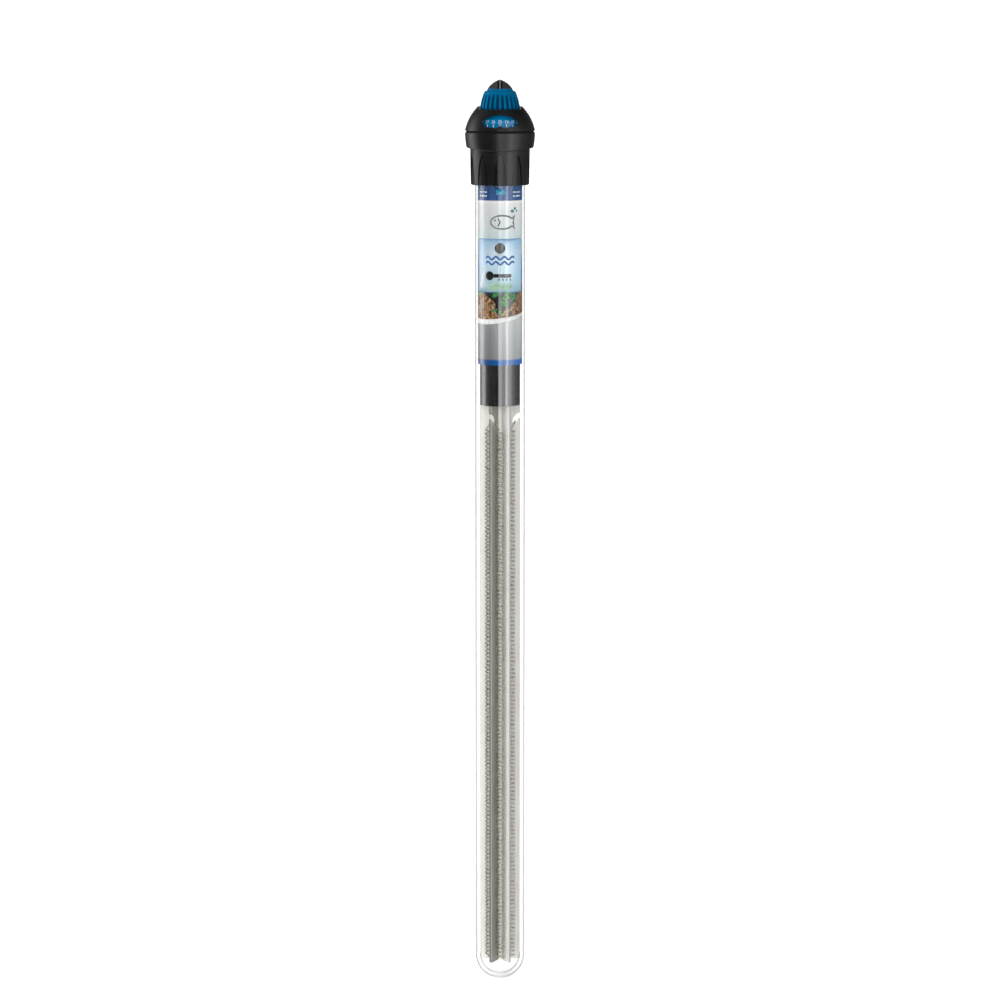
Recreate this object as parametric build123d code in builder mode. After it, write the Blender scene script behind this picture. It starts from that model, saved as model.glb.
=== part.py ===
from build123d import *
from math import cos, hypot, radians, sin, sqrt
import os

# Submersible aquarium heater, millimetres. +Z runs up along the glass tube, the origin is the glass's
# lowest point, and the front, with the scale window, faces -Y.

# Glass tube: standard 26 mm borosilicate tube with a round end, and a lipped mouth inside the head
GLASS_R = 13.0
GLASS_WALL = 1.4
GLASS_INNER_R = GLASS_R - GLASS_WALL
END_INNER_Z = 2.3
END_INNER_R = 10.8
TAPER_HIGH_Z = 26.0
NECK_R = 12.7
NECK_Z = 424.0
LIP_R = 13.8
LIP_Z = 436.5
LIP_CHAMFER = 0.4
MOUTH_Z = 439.0

# Label rolled inside the glass, and the lamp hole in its front
LABEL_R = 11.5
LABEL_THICKNESS = 0.2
LABEL_LOW_Z = 331.7
LABEL_HIGH_Z = 438.0
LAMP_Z = 392.3
LAMP_HOLE_R = 2.7

# Carrier sleeve that holds the electrics
SLEEVE_R = 10.45
SLEEVE_INNER_R = 9.55
SLEEVE_LOW_Z = 310.2
SLEEVE_HIGH_Z = 436.0

# Ceramic core: a star of fins on a bored hub, with a coil in each groove
FINS = 6
FIN_R = 10.5
FIN_THICKNESS = 1.1
FIN_CORNER_R = 1.1
FIN_EDGE_R = 0.2
HUB_R = 2.6
HUB_BORE_R = 0.95
CORE_LOW_Z = 10.4
SPIGOT_R = 9.45
SPIGOT_HIGH_Z = 322.0
NOTCH_RHO = 12.1
NOTCH_Z = 300.6
NOTCH_INNER_R = 3.2
NOTCH_OUTER_R = 5.6
COIL_RHO = 7.2
COIL_R = 1.8
COIL_WALL = 0.45
COIL_LOW_Z = 13.2
COIL_HIGH_Z = 298.0
LINK_R = 0.3
LINK_HOLE_R = 0.5
LINK_HOLE_RHO = 4.8
LINK_HOLE_Z = 12.4
LEAD_HOLE_R = 0.42
LEAD_Y = 0.45
LEAD_TOP_Z = 334.0
SHIELD_Z = (323.0, 324.5)
SHIELD_BORE_R = 1.4
TOP_LINK_FINS = (-30, 90, 210)
BOTTOM_LINK_FINS = (30, 150)
LEAD_COILS = {-60: -LEAD_Y, -120: LEAD_Y}

# Lower housing: a bulged collar with an arched lower edge, and a tapered gripping skirt
SEAM_LOW_Z = 451.2
SEAM_HIGH_Z = 452.15
SEAM_R = 17.5
COLLAR_TOP_R = 18.06
COLLAR_MID = (17.92, 448.0)
COLLAR_LOW = (16.8, 441.2)
COLLAR_SIDE_Z = 443.3
COLLAR_ARCH_R = 82.0
COLLAR_INNER_R = 16.2
SKIRT_TOP_R = 15.45
SKIRT_LOW_R = 15.08
SKIRT_LOW_Z = 424.3
SKIRT_CORNER_R = 0.9
SKIRT_BORE_R = 13.15
SEAL_BORE_R = 14.0
SEAL_SHOULDER_Z = 430.9
LEDGE_Z = 445.0
GRIPS = 10
GRIP_HALF_WIDTH = 3.27
GRIP_TOP_Z = 439.8
GRIP_FLOOR_R = 14.6

# Dome over the scale drum, with a lens-shaped window, a bowl for the knob and a lowered front rim
DOME_LOW_R = 18.1
DOME_MID = (16.1, 457.95)
DOME_HIGH = (11.4, 464.5)
DOME_INNER_LOW_R = 16.4
DOME_INNER_MID = (14.75, 457.5)
DOME_INNER_HIGH = (10.8, 461.9)
BOWL_LOW_R = 10.4
BOWL_LOW_Z = 462.0
BOWL_SLOPE = 0.34
TROUGH_Z = 462.85
WINDOW_HALF_WIDTH = 9.15
WINDOW_TIP_Z = 457.2
WINDOW_HIGH_Z = 460.3
WINDOW_LOW_Z = 453.6
WINDOW_CORNER = (8.0, 454.55)
WINDOW_CORNER_MID = (8.93, 455.65)
POINTER_HALF_WIDTH = 2.5
POINTER_FLANK = (0.95, 454.2)
POINTER_Z = 455.15

# Dial: knob, tip, scale drum and spindle turn together
SPINDLE_R = 3.0
SPINDLE_BORE_R = 3.05
SPINDLE_FLAT_Y = 2.2
KEYED_BORE_R = 3.03
KEYED_FLAT_Y = 2.23
SPINDLE_TOP_Z = 467.8
SPINDLE_FLAT_Z = 452.3
SCREW_HOLE_R = 1.3
SCREW_R = 1.25
SCREW_HEAD_R = 2.4
SCREW_HEAD_HIGH = 1.6
SCREW_SLOT_HALF_WIDTH = 0.3
SCREW_SLOT_DEPTH = 0.7
THREAD_R = 1.9
THREAD_TOP_Z = 425.6
THREAD_LOW_Z = 407.0
KNOB_TOP_Z = 473.4
KNOB_TOP_R = 6.45
KNOB_STEP = (6.6, 472.65)
KNOB_SHOULDER = (7.2, 472.4)
KNOB_SHOULDER_MID = (7.97, 471.9)
KNOB_SHOULDER_LOW = (8.4, 471.1)
KNOB_FLANK_MID = (9.5, 467.7)
KNOB_RIM = (10.35, 463.5)
KNOB_SKIRT_R = 10.05
KNOB_LOW_Z = 461.2
KNOB_HOLLOW_R = 8.0
KNOB_HOLLOW_Z = 466.5
KNOB_RIBS = 24
GROOVE_R = 0.75
GROOVE_LOW = (10.45, 461.0)
GROOVE_HIGH = (8.85, 470.0)
CAP_POCKET_R = 5.4
CAP_POCKET_Z = 470.0
CAP_SPIGOT_Z = 472.0
CAP_R = 6.4
CAP_MID = (4.5, 475.65)
CAP_APEX_Z = 478.15
CAP_SLOT_HALF_WIDTH = 1.3
CAP_SLOT_Y = (-8, -0.6)
CAP_SLOT_DEPTH = 0.8
CAP_RIB_HALF_WIDTH = 0.3
CAP_RIB_INSET = 0.4
DRUM_R = 14.3
DRUM_WALL = 1.2
DRUM_LOW_Z = 453.0
DRUM_CONE_Z = 457.2
DRUM_TOP_R = 11.7
DRUM_TOP_Z = 460.6
DIAL_HUB_R = 5.0
DIAL_HUB_Z = 452.45

# Head core: carries the spindle, the cord's gland and the splices
CORE_PLATE_Z = 449.4
CORE_R = 16.0
CORE_NOSE_R = 13.85
CORE_NOSE_Z = 441.2
CAVITY_R = 12.6
BOSS_R = 4.6
BOSS_Z = 443.2
SEAL_Z = 446.0
SEAL_GROOVE_R = 4.1
SEAL_SECTION_R = 0.5
CLIP_Z = (442.3, 442.9)
CLIP_GROOVE_R = 2.4
CORD_Z = 446.3
CORD_R = 2.9
GLAND_R = 3.6
GLAND_IN_Y = 12.0
GLAND_OUT_Y = 17.5
SNAP_Z = 448.0
SNAP_HALF_GAP = 5.5
CLAMP_Y = 9.65
CLAMP_Z = (442.6, 446.0)
CLAMP_HALF_WIDTH = 5.8
CLAMP_HALF_DEPTH = 1.35
CLAMP_SCREW_X = 4.6
CLAMP_SCREW_R = 0.8
CLAMP_HEAD_R = 1.3
CLAMP_HEAD_Z = (441.5, 442.6)
CLAMP_SLOT_DEPTH = 0.5
CLAMP_SLOT_HALF_WIDTH = 0.2

# Ring and seal between the glass's lip and the housing
RETAINER_Z = (433.5, 436.2)
RETAINER_HALF_GAP = 0.8
RING_SEAL_Z = 432.2
RING_SEAL_R = 0.6

# Wires down through the stopper
SPLICE_X = 5.2
SPLICE_Y = 3.0
SPLICE_Z = (442.2, 447.2)
SPLICE_R = 1.1
WIRE_R = 0.75
WIRE_HOLE_R = 0.85
STOPPER_Z = 425.0
STOPPER_HOLE_R = 3.3
STOPPER_HEAD_R = 13.7

# Thermostat on a steel frame inside the carrier sleeve
FRAME_HALF_WIDTH = 4.2
FRAME_Y = 4.2
FRAME_THICKNESS = 0.8
FRAME_LOW_Z = 336.0
NUT_LOW_Z = 411.0
NUT_HIGH_Z = 416.0
NUT_HALF_WIDTH = 3.2
NUT_Y = (-3.5, 3.8)
NUT_NOSE_Z = 403.5
NUT_NOSE_Y = (-3.5, -2.3)
NUT_NOSE_HALF_WIDTH = 1.0
SPRING_R = (3.3, 2.5)
STRIP_Y = (-0.5, 0.1)
STRIP_HALF_WIDTH = 2.8
STRIP_LOW_Z = 346.3
STRIP_HIGH_Z = 405.0
STRIP_CORNER_R = 1.2
CONTACT_Z = 396.0
CONTACT_R = 1.2
CONTACT_SHANK_R = 0.58
CONTACT_TOP_Y = 0.6
FIXED_CONTACT_Y = (0.9, 1.4)
BRACKET_Y = (1.4, 2.0)
BRACKET_Z = (385.0, 405.0)
BRACKET_HALF_WIDTH = 2.5
INSULATOR_Z = (384.0, 394.0)
INSULATOR_HALF_WIDTH = 3.5
MAGNET_Z = (400.0, 404.5)
MAGNET_Y = (0.7, 1.4)
MAGNET_HALF_WIDTH = 2.0
STRIP_CLAMP_Z = (338.0, 346.0)
STRIP_CLAMP_HALF_WIDTH = 3.0
RIVET_R = 0.75
RIVET_HOLE_R = 0.8
RIVET_HEAD_R = 1.2
RIVET_HEAD = 0.4
RIVET_Z = (387.0, 391.0)
CLAMP_RIVET_Z = (340.0, 344.0)
TERMINAL_X = (3.2, 4.4, 6.0)
TERMINAL_Y = (2.2, 3.8)
TERMINAL_Z = (404.0, 408.0, 411.8)

# Neon lamp behind the lamp hole, with its resistor, and the fuse and capacitor beside the thermostat
LAMP_Y = -6.3
LAMP_R = 2.6
LAMP_WALL = 0.35
LAMP_HALF_LENGTH = 7.0
ELECTRODE_X = (0.6, 2.1)
ELECTRODE_HALF_THICKNESS = 0.2
REFLECTOR_Y = (-3.4, -3.0)
REFLECTOR_HALF_WIDTH = 3.8
REFLECTOR_HALF_LENGTH = 9.0
RESISTOR_Z = (372.0, 379.0)
RESISTOR_R = 1.2
LEAD_R = 0.3
RESISTOR_LEAD_Z = 368.0
FUSE_PLACE = (-6.0, -3.5)
FUSE_Z = (350.0, 361.0)
FUSE_LEAD_Z = (342.0, 369.0)
FUSE_R = 1.9
FUSE_LEAD_R = 0.4
CAPACITOR_X = (4.2, 7.6)
CAPACITOR_Y = (-4.4, 0.6)
CAPACITOR_Z = (350.0, 363.0)
CAPACITOR_LEAD_Y = (-3.4, -0.4)
CAPACITOR_LEAD_Z = 344.0
SMALL_CORNER_R = 0.6

os.makedirs("parts", exist_ok=True)


def tube(low, high, outer, inner=0.0, mode=Mode.ADD):
    """Adds a round bar or tube on the Z axis between two heights."""
    with BuildSketch(Plane.XY.offset(low)) as section:
        Circle(outer)
        if inner:
            Circle(inner, mode=Mode.SUBTRACT)
    extrude(section.sketch, amount=high - low, mode=mode)


def post(x, y, low, high, outer, inner=0.0, mode=Mode.ADD):
    """Adds an upright bar or tube that stands at (x, y)."""
    with BuildSketch(Plane.XY.offset(low)) as section:
        with Locations((x, y)):
            Circle(outer)
            if inner:
                Circle(inner, mode=Mode.SUBTRACT)
    extrude(section.sketch, amount=high - low, mode=mode)


def slab(xs, ys, zs, mode=Mode.ADD):
    """Adds a box between two limits on each axis."""
    centre = tuple((pair[0] + pair[1]) / 2 for pair in (xs, ys, zs))
    with Locations(centre):
        Box(xs[1] - xs[0], ys[1] - ys[0], zs[1] - zs[0], mode=mode)


def pin_along_y(x, z, near, far, radius, mode=Mode.ADD):
    """Adds a round bar along +Y at (x, z) between two values of y."""
    with BuildSketch(Plane.XZ.offset(-far)) as section:
        with Locations((x, z)):
            Circle(radius)
    extrude(section.sketch, amount=far - near, mode=mode)


def wire(points, radius, bend=0.9):
    """Adds a wire through the points, its corners rounded."""
    with BuildLine() as path:
        FilletPolyline(*points, radius=bend)
    with BuildSketch(Plane(origin=path.line @ 0, z_dir=path.line % 0)) as section:
        Circle(radius)
    sweep(section.sketch, path=path.line)


def keyed_bore(low, high):
    """Cuts the flat-sided hole that takes the spindle's flat."""
    with BuildSketch(Plane.XY.offset(low)) as section:
        Circle(KEYED_BORE_R)
        with Locations((0, KEYED_FLAT_Y + KEYED_BORE_R)):
            Rectangle(4 * KEYED_BORE_R, 2 * KEYED_BORE_R, mode=Mode.SUBTRACT)
    extrude(section.sketch, amount=high - low, mode=Mode.SUBTRACT)


def around(angle, rho, z):
    """The point at this angle from the front, counted towards +X."""
    return (rho * sin(radians(angle)), -rho * cos(radians(angle)), z)


def fin_plane(angle):
    """Upright plane through the axis and the fin at this angle, its x outwards and its y up."""
    return Plane(origin=(0, 0, 0), x_dir=around(angle, 1, 0), z_dir=around(angle + 90, -1, 0))


# ---------------------------------------------------------------- glass tube and what lies inside it

half = sqrt(0.5)

with BuildPart() as glass_tube:
    with BuildSketch(Plane.XZ):
        with BuildLine():
            ThreePointArc((0, 0), (GLASS_R * half, GLASS_R * (1 - half)), (GLASS_R, GLASS_R))
            end_centre_z = END_INNER_Z + END_INNER_R
            Polyline(
                (GLASS_R, GLASS_R),
                (GLASS_R, NECK_Z),
                (NECK_R, NECK_Z + 0.3),
                (NECK_R, LIP_Z - 0.2),
                (LIP_R, LIP_Z),
                (LIP_R, MOUTH_Z - LIP_CHAMFER),
                (LIP_R - LIP_CHAMFER, MOUTH_Z),
                (GLASS_INNER_R, MOUTH_Z),
                (GLASS_INNER_R, TAPER_HIGH_Z),
                (END_INNER_R, end_centre_z),
            )
            ThreePointArc(
                (END_INNER_R, end_centre_z),
                (END_INNER_R * half, end_centre_z - END_INNER_R * half),
                (0, END_INNER_Z),
            )
            Line((0, END_INNER_Z), (0, 0))
        make_face()
    revolve(axis=Axis.Z)
glass_tube.part.label = "glass_tube"
export_step(glass_tube.part, "parts/glass_tube.step")

with BuildPart() as label_sleeve:
    tube(LABEL_LOW_Z, LABEL_HIGH_Z, LABEL_R, LABEL_R - LABEL_THICKNESS)
    pin_along_y(0, LAMP_Z, -LABEL_R - 1, 0, LAMP_HOLE_R, mode=Mode.SUBTRACT)
label_sleeve.part.label = "label_sleeve"
export_step(label_sleeve.part, "parts/label_sleeve.step")

with BuildPart() as carrier_sleeve:
    tube(SLEEVE_LOW_Z, SLEEVE_HIGH_Z, SLEEVE_R, SLEEVE_INNER_R)
    pin_along_y(0, LAMP_Z, -SLEEVE_R - 1, 0, LAMP_HOLE_R + 0.2, mode=Mode.SUBTRACT)
carrier_sleeve.part.label = "carrier_sleeve"
export_step(carrier_sleeve.part, "parts/carrier_sleeve.step")

with BuildPart() as ceramic_core:
    with BuildSketch(Plane.XY.offset(CORE_LOW_Z)) as star:
        Circle(HUB_R)
        for turn in range(FINS // 2):
            Rectangle(2 * FIN_R, FIN_THICKNESS, rotation=turn * 360 / FINS)
        tips = [corner for corner in star.vertices() if hypot(corner.X, corner.Y) > FIN_R - 1]
        fillet(tips, radius=FIN_EDGE_R)
        Circle(HUB_BORE_R, mode=Mode.SUBTRACT)
    extrude(amount=SPIGOT_HIGH_Z - CORE_LOW_Z)
    # Rounds the fins' lower corners and turns down the spigot
    with BuildSketch(Plane.XZ):
        with BuildLine():
            reach = FIN_R + 0.1
            corner_centre = (reach - FIN_CORNER_R, CORE_LOW_Z + FIN_CORNER_R)
            Polyline(
                (reach, corner_centre[1]),
                (reach, SLEEVE_LOW_Z),
                (SPIGOT_R, SLEEVE_LOW_Z),
                (SPIGOT_R, SPIGOT_HIGH_Z),
                (0, SPIGOT_HIGH_Z),
                (0, CORE_LOW_Z),
                (corner_centre[0], CORE_LOW_Z),
            )
            ThreePointArc(
                (corner_centre[0], CORE_LOW_Z),
                (corner_centre[0] + FIN_CORNER_R * half, corner_centre[1] - FIN_CORNER_R * half),
                (reach, corner_centre[1]),
            )
        make_face()
    revolve(axis=Axis.Z, mode=Mode.INTERSECT)
    for angle in TOP_LINK_FINS:
        with BuildSketch(fin_plane(angle)):
            with Locations((NOTCH_RHO, NOTCH_Z)):
                Circle(NOTCH_OUTER_R)
                Circle(NOTCH_INNER_R, mode=Mode.SUBTRACT)
            with Locations((NOTCH_RHO, NOTCH_Z - NOTCH_OUTER_R)):
                Rectangle(3 * NOTCH_OUTER_R, 2 * NOTCH_OUTER_R, mode=Mode.SUBTRACT)
        extrude(amount=FIN_THICKNESS, both=True, mode=Mode.SUBTRACT)
    for angle in BOTTOM_LINK_FINS:
        with BuildSketch(fin_plane(angle)):
            with Locations((LINK_HOLE_RHO, LINK_HOLE_Z)):
                Circle(LINK_HOLE_R)
        extrude(amount=FIN_THICKNESS, both=True, mode=Mode.SUBTRACT)
    for angle, lead_y in LEAD_COILS.items():
        inner = Vector(0, lead_y, LINK_HOLE_Z)
        outwards = Vector(*around(angle, COIL_RHO, LINK_HOLE_Z)) - inner
        with BuildSketch(Plane(origin=inner, z_dir=outwards)):
            Circle(LEAD_HOLE_R)
        extrude(amount=HUB_R + 0.5, mode=Mode.SUBTRACT)
ceramic_core.part.label = "ceramic_core"
export_step(ceramic_core.part, "parts/ceramic_core.step")

for number in range(FINS):
    coil_x, coil_y, _ = around(number * 360 / FINS, COIL_RHO, 0)
    with BuildPart() as heating_coil:
        post(coil_x, coil_y, COIL_LOW_Z, COIL_HIGH_Z, COIL_R, COIL_R - COIL_WALL)
    heating_coil.part.label = f"heating_coil_{number + 1}"
    export_step(heating_coil.part, f"parts/heating_coil_{number + 1}.step")

# Links through the three notches join neighbouring coils at the top
with BuildPart() as top_links:
    for angle in TOP_LINK_FINS:
        wire(
            [
                around(angle - 30, COIL_RHO, COIL_HIGH_Z),
                around(angle - 30, COIL_RHO, COIL_HIGH_Z + 1.5),
                around(angle - 8, COIL_RHO + 0.7, NOTCH_Z + 0.8),
                around(angle + 8, COIL_RHO + 0.7, NOTCH_Z + 0.8),
                around(angle + 30, COIL_RHO, COIL_HIGH_Z + 1.5),
                around(angle + 30, COIL_RHO, COIL_HIGH_Z),
            ],
            LINK_R,
            bend=0.6,
        )
top_links.part.label = "top_links"
export_step(top_links.part, "parts/top_links.step")

# Links through the holes in two fins join them at the bottom
with BuildPart() as bottom_links:
    for angle in BOTTOM_LINK_FINS:
        wire(
            [
                around(angle - 30, COIL_RHO, COIL_LOW_Z),
                around(angle - 30, COIL_RHO - 0.4, LINK_HOLE_Z - 0.6),
                around(angle - 8, LINK_HOLE_RHO, LINK_HOLE_Z),
                around(angle + 8, LINK_HOLE_RHO, LINK_HOLE_Z),
                around(angle + 30, COIL_RHO - 0.4, LINK_HOLE_Z - 0.6),
                around(angle + 30, COIL_RHO, COIL_LOW_Z),
            ],
            LINK_R,
            bend=0.25,
        )
bottom_links.part.label = "bottom_links"
export_step(bottom_links.part, "parts/bottom_links.step")

# The first and last coil's leads pass into the hub and go back up through its bore
with BuildPart() as return_leads:
    for angle, lead_y in LEAD_COILS.items():
        wire(
            [
                around(angle, COIL_RHO, COIL_LOW_Z),
                around(angle, COIL_RHO, LINK_HOLE_Z),
                (0, lead_y, LINK_HOLE_Z),
                (0, lead_y, LEAD_TOP_Z),
            ],
            LINK_R,
            bend=0.35,
        )
return_leads.part.label = "return_leads"
export_step(return_leads.part, "parts/return_leads.step")

with BuildPart() as heat_shield:
    tube(*SHIELD_Z, SPIGOT_R, SHIELD_BORE_R)
heat_shield.part.label = "heat_shield"
export_step(heat_shield.part, "parts/heat_shield.step")

# ---------------------------------------------------------------- head: lower housing and core

# The grip recesses are half ellipses wrapped round the skirt, with floors coaxial with it
with BuildPart() as grip_cut:
    for number in range(GRIPS):
        out = around(number * 360 / GRIPS, 1, 0)
        with BuildSketch(Plane(origin=(0, 0, SKIRT_LOW_Z), x_dir=(-out[1], out[0], 0), z_dir=out)):
            Ellipse(GRIP_HALF_WIDTH, GRIP_TOP_Z - SKIRT_LOW_Z)
        extrude(amount=1.4 * GRIP_FLOOR_R)
    tube(SKIRT_LOW_Z - 20, GRIP_TOP_Z + 5, GRIP_FLOOR_R, mode=Mode.SUBTRACT)

with BuildPart() as lower_housing:
    with BuildSketch(Plane.XZ):
        with BuildLine():
            ThreePointArc((COLLAR_TOP_R, SEAM_LOW_Z), COLLAR_MID, COLLAR_LOW)
            Polyline(COLLAR_LOW, (0, COLLAR_LOW[1]), (0, SEAM_LOW_Z), (COLLAR_TOP_R, SEAM_LOW_Z))
        make_face()
    revolve(axis=Axis.Z)
    with BuildSketch(Plane.YZ):
        with Locations((0, COLLAR_SIDE_Z - COLLAR_ARCH_R)):
            Circle(COLLAR_ARCH_R)
    extrude(amount=2 * COLLAR_TOP_R, both=True, mode=Mode.SUBTRACT)
    fillet(lower_housing.faces().sort_by(Axis.Z)[0].edges(), radius=0.8)
    fillet(lower_housing.faces().sort_by(Axis.Z)[-1].edges(), radius=0.3)
    with BuildSketch(Plane.XZ):
        with BuildLine():
            skirt_corner = (SKIRT_LOW_R - SKIRT_CORNER_R, SKIRT_LOW_Z + SKIRT_CORNER_R)
            Polyline(
                (SKIRT_LOW_R, skirt_corner[1]),
                (SKIRT_TOP_R, LEDGE_Z),
                (0, LEDGE_Z),
                (0, SKIRT_LOW_Z),
                (skirt_corner[0], SKIRT_LOW_Z),
            )
            ThreePointArc(
                (skirt_corner[0], SKIRT_LOW_Z),
                (skirt_corner[0] + SKIRT_CORNER_R * half, skirt_corner[1] - SKIRT_CORNER_R * half),
                (SKIRT_LOW_R, skirt_corner[1]),
            )
        make_face()
    revolve(axis=Axis.Z)
    add(grip_cut.part, mode=Mode.SUBTRACT)
    tube(SKIRT_LOW_Z - 1, LEDGE_Z, SKIRT_BORE_R, mode=Mode.SUBTRACT)
    tube(SEAL_SHOULDER_Z, LEDGE_Z, SEAL_BORE_R, mode=Mode.SUBTRACT)
    tube(LEDGE_Z, SEAM_LOW_Z + 1, COLLAR_INNER_R, mode=Mode.SUBTRACT)
    tube(SNAP_Z - 0.6, SNAP_Z + 0.6, COLLAR_INNER_R + 0.4, mode=Mode.SUBTRACT)
    pin_along_y(0, CORD_Z, 5, 25, GLAND_R + 0.05, mode=Mode.SUBTRACT)
lower_housing.part.label = "lower_housing"
export_step(lower_housing.part, "parts/lower_housing.step")

with BuildPart() as head_core:
    tube(SEAM_LOW_Z, SEAM_HIGH_Z, SEAM_R)
    tube(SEAM_HIGH_Z, SEAM_HIGH_Z + 0.9, CORE_R + 0.1, CORE_R - 0.5)
    tube(CORE_PLATE_Z, SEAM_LOW_Z, CORE_R)
    tube(LEDGE_Z, CORE_PLATE_Z, CORE_R, CAVITY_R)
    tube(CORE_NOSE_Z, LEDGE_Z, CORE_NOSE_R, CAVITY_R)
    tube(BOSS_Z, CORE_PLATE_Z, BOSS_R)
    tube(BOSS_Z - 1, SEAM_HIGH_Z + 1, SPINDLE_BORE_R, mode=Mode.SUBTRACT)
    tube(SEAL_Z - 0.6, SEAL_Z + 0.6, SEAL_GROOVE_R, mode=Mode.SUBTRACT)
    tube(SNAP_Z - 0.6, SNAP_Z + 0.6, CORE_R + 1, CORE_R - 0.7, mode=Mode.SUBTRACT)
    pin_along_y(0, CORD_Z, GLAND_IN_Y - 0.1, 25, GLAND_R + 0.05, mode=Mode.SUBTRACT)
    for side in (-1, 1):
        post(side * CLAMP_SCREW_X, CLAMP_Y, CORE_PLATE_Z - 1, CORE_PLATE_Z + 1.8, CLAMP_SCREW_R + 0.05,
             mode=Mode.SUBTRACT)
head_core.part.label = "head_core"
export_step(head_core.part, "parts/head_core.step")

# Split ring that locks the core in the collar, open at the back where the cord comes in
with BuildPart() as snap_ring:
    tube(SNAP_Z - 0.5, SNAP_Z + 0.5, COLLAR_INNER_R + 0.3, CORE_R - 0.6)
    slab((-SNAP_HALF_GAP, SNAP_HALF_GAP), (0, 20), (SNAP_Z - 1, SNAP_Z + 1), mode=Mode.SUBTRACT)
snap_ring.part.label = "snap_ring"
export_step(snap_ring.part, "parts/snap_ring.step")

with BuildPart() as retaining_ring:
    tube(*RETAINER_Z, LIP_R + 0.1, NECK_R + 0.1)
    slab((-RETAINER_HALF_GAP, RETAINER_HALF_GAP), (0, 20), RETAINER_Z, mode=Mode.SUBTRACT)
retaining_ring.part.label = "retaining_ring"
export_step(retaining_ring.part, "parts/retaining_ring.step")

with BuildPart() as glass_seal_ring:
    with BuildSketch(Plane.XZ):
        with Locations((NECK_R + RING_SEAL_R + 0.05, RING_SEAL_Z)):
            Circle(RING_SEAL_R)
    revolve(axis=Axis.Z)
glass_seal_ring.part.label = "glass_seal_ring"
export_step(glass_seal_ring.part, "parts/glass_seal_ring.step")

with BuildPart() as stopper:
    tube(STOPPER_Z, MOUTH_Z, SLEEVE_INNER_R - 0.05)
    tube(SLEEVE_HIGH_Z + 0.1, LABEL_HIGH_Z, SLEEVE_R)
    tube(MOUTH_Z, CORE_NOSE_Z, STOPPER_HEAD_R)
    tube(STOPPER_Z - 1, CORE_NOSE_Z + 1, STOPPER_HOLE_R, mode=Mode.SUBTRACT)
    for side in (-1, 1):
        post(side * SPLICE_X, SPLICE_Y, STOPPER_Z - 1, CORE_NOSE_Z + 1, WIRE_HOLE_R, mode=Mode.SUBTRACT)
stopper.part.label = "stopper"
export_step(stopper.part, "parts/stopper.step")

with BuildPart() as cord_gland:
    pin_along_y(0, CORD_Z, GLAND_IN_Y, GLAND_OUT_Y, GLAND_R)
    pin_along_y(0, CORD_Z, GLAND_IN_Y - 1, GLAND_OUT_Y + 1, CORD_R, mode=Mode.SUBTRACT)
    fillet(cord_gland.faces().sort_by(Axis.Y)[-1].edges().sort_by(SortBy.RADIUS)[-1], radius=0.3)
cord_gland.part.label = "cord_gland"
export_step(cord_gland.part, "parts/cord_gland.step")

with BuildPart() as cord_clamp:
    slab((-CLAMP_HALF_WIDTH, CLAMP_HALF_WIDTH), (CLAMP_Y - CLAMP_HALF_DEPTH, CLAMP_Y + CLAMP_HALF_DEPTH), CLAMP_Z)
    pin_along_y(0, CORD_Z, CLAMP_Y - 3, CLAMP_Y + 3, CORD_R - 0.15, mode=Mode.SUBTRACT)
    for side in (-1, 1):
        post(side * CLAMP_SCREW_X, CLAMP_Y, CLAMP_Z[0] - 1, CLAMP_Z[1] + 1, CLAMP_SCREW_R + 0.1,
             mode=Mode.SUBTRACT)
cord_clamp.part.label = "cord_clamp"
export_step(cord_clamp.part, "parts/cord_clamp.step")

with BuildPart() as cord_clamp_screws:
    for side in (-1, 1):
        screw_x = side * CLAMP_SCREW_X
        post(screw_x, CLAMP_Y, CLAMP_HEAD_Z[0], CORE_PLATE_Z + 1.6, CLAMP_SCREW_R)
        post(screw_x, CLAMP_Y, *CLAMP_HEAD_Z, CLAMP_HEAD_R)
        slab(
            (screw_x - CLAMP_HEAD_R, screw_x + CLAMP_HEAD_R),
            (CLAMP_Y - CLAMP_SLOT_HALF_WIDTH, CLAMP_Y + CLAMP_SLOT_HALF_WIDTH),
            (CLAMP_HEAD_Z[0], CLAMP_HEAD_Z[0] + CLAMP_SLOT_DEPTH),
            mode=Mode.SUBTRACT,
        )
cord_clamp_screws.part.label = "cord_clamp_screws"
export_step(cord_clamp_screws.part, "parts/cord_clamp_screws.step")

# ---------------------------------------------------------------- dome

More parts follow.
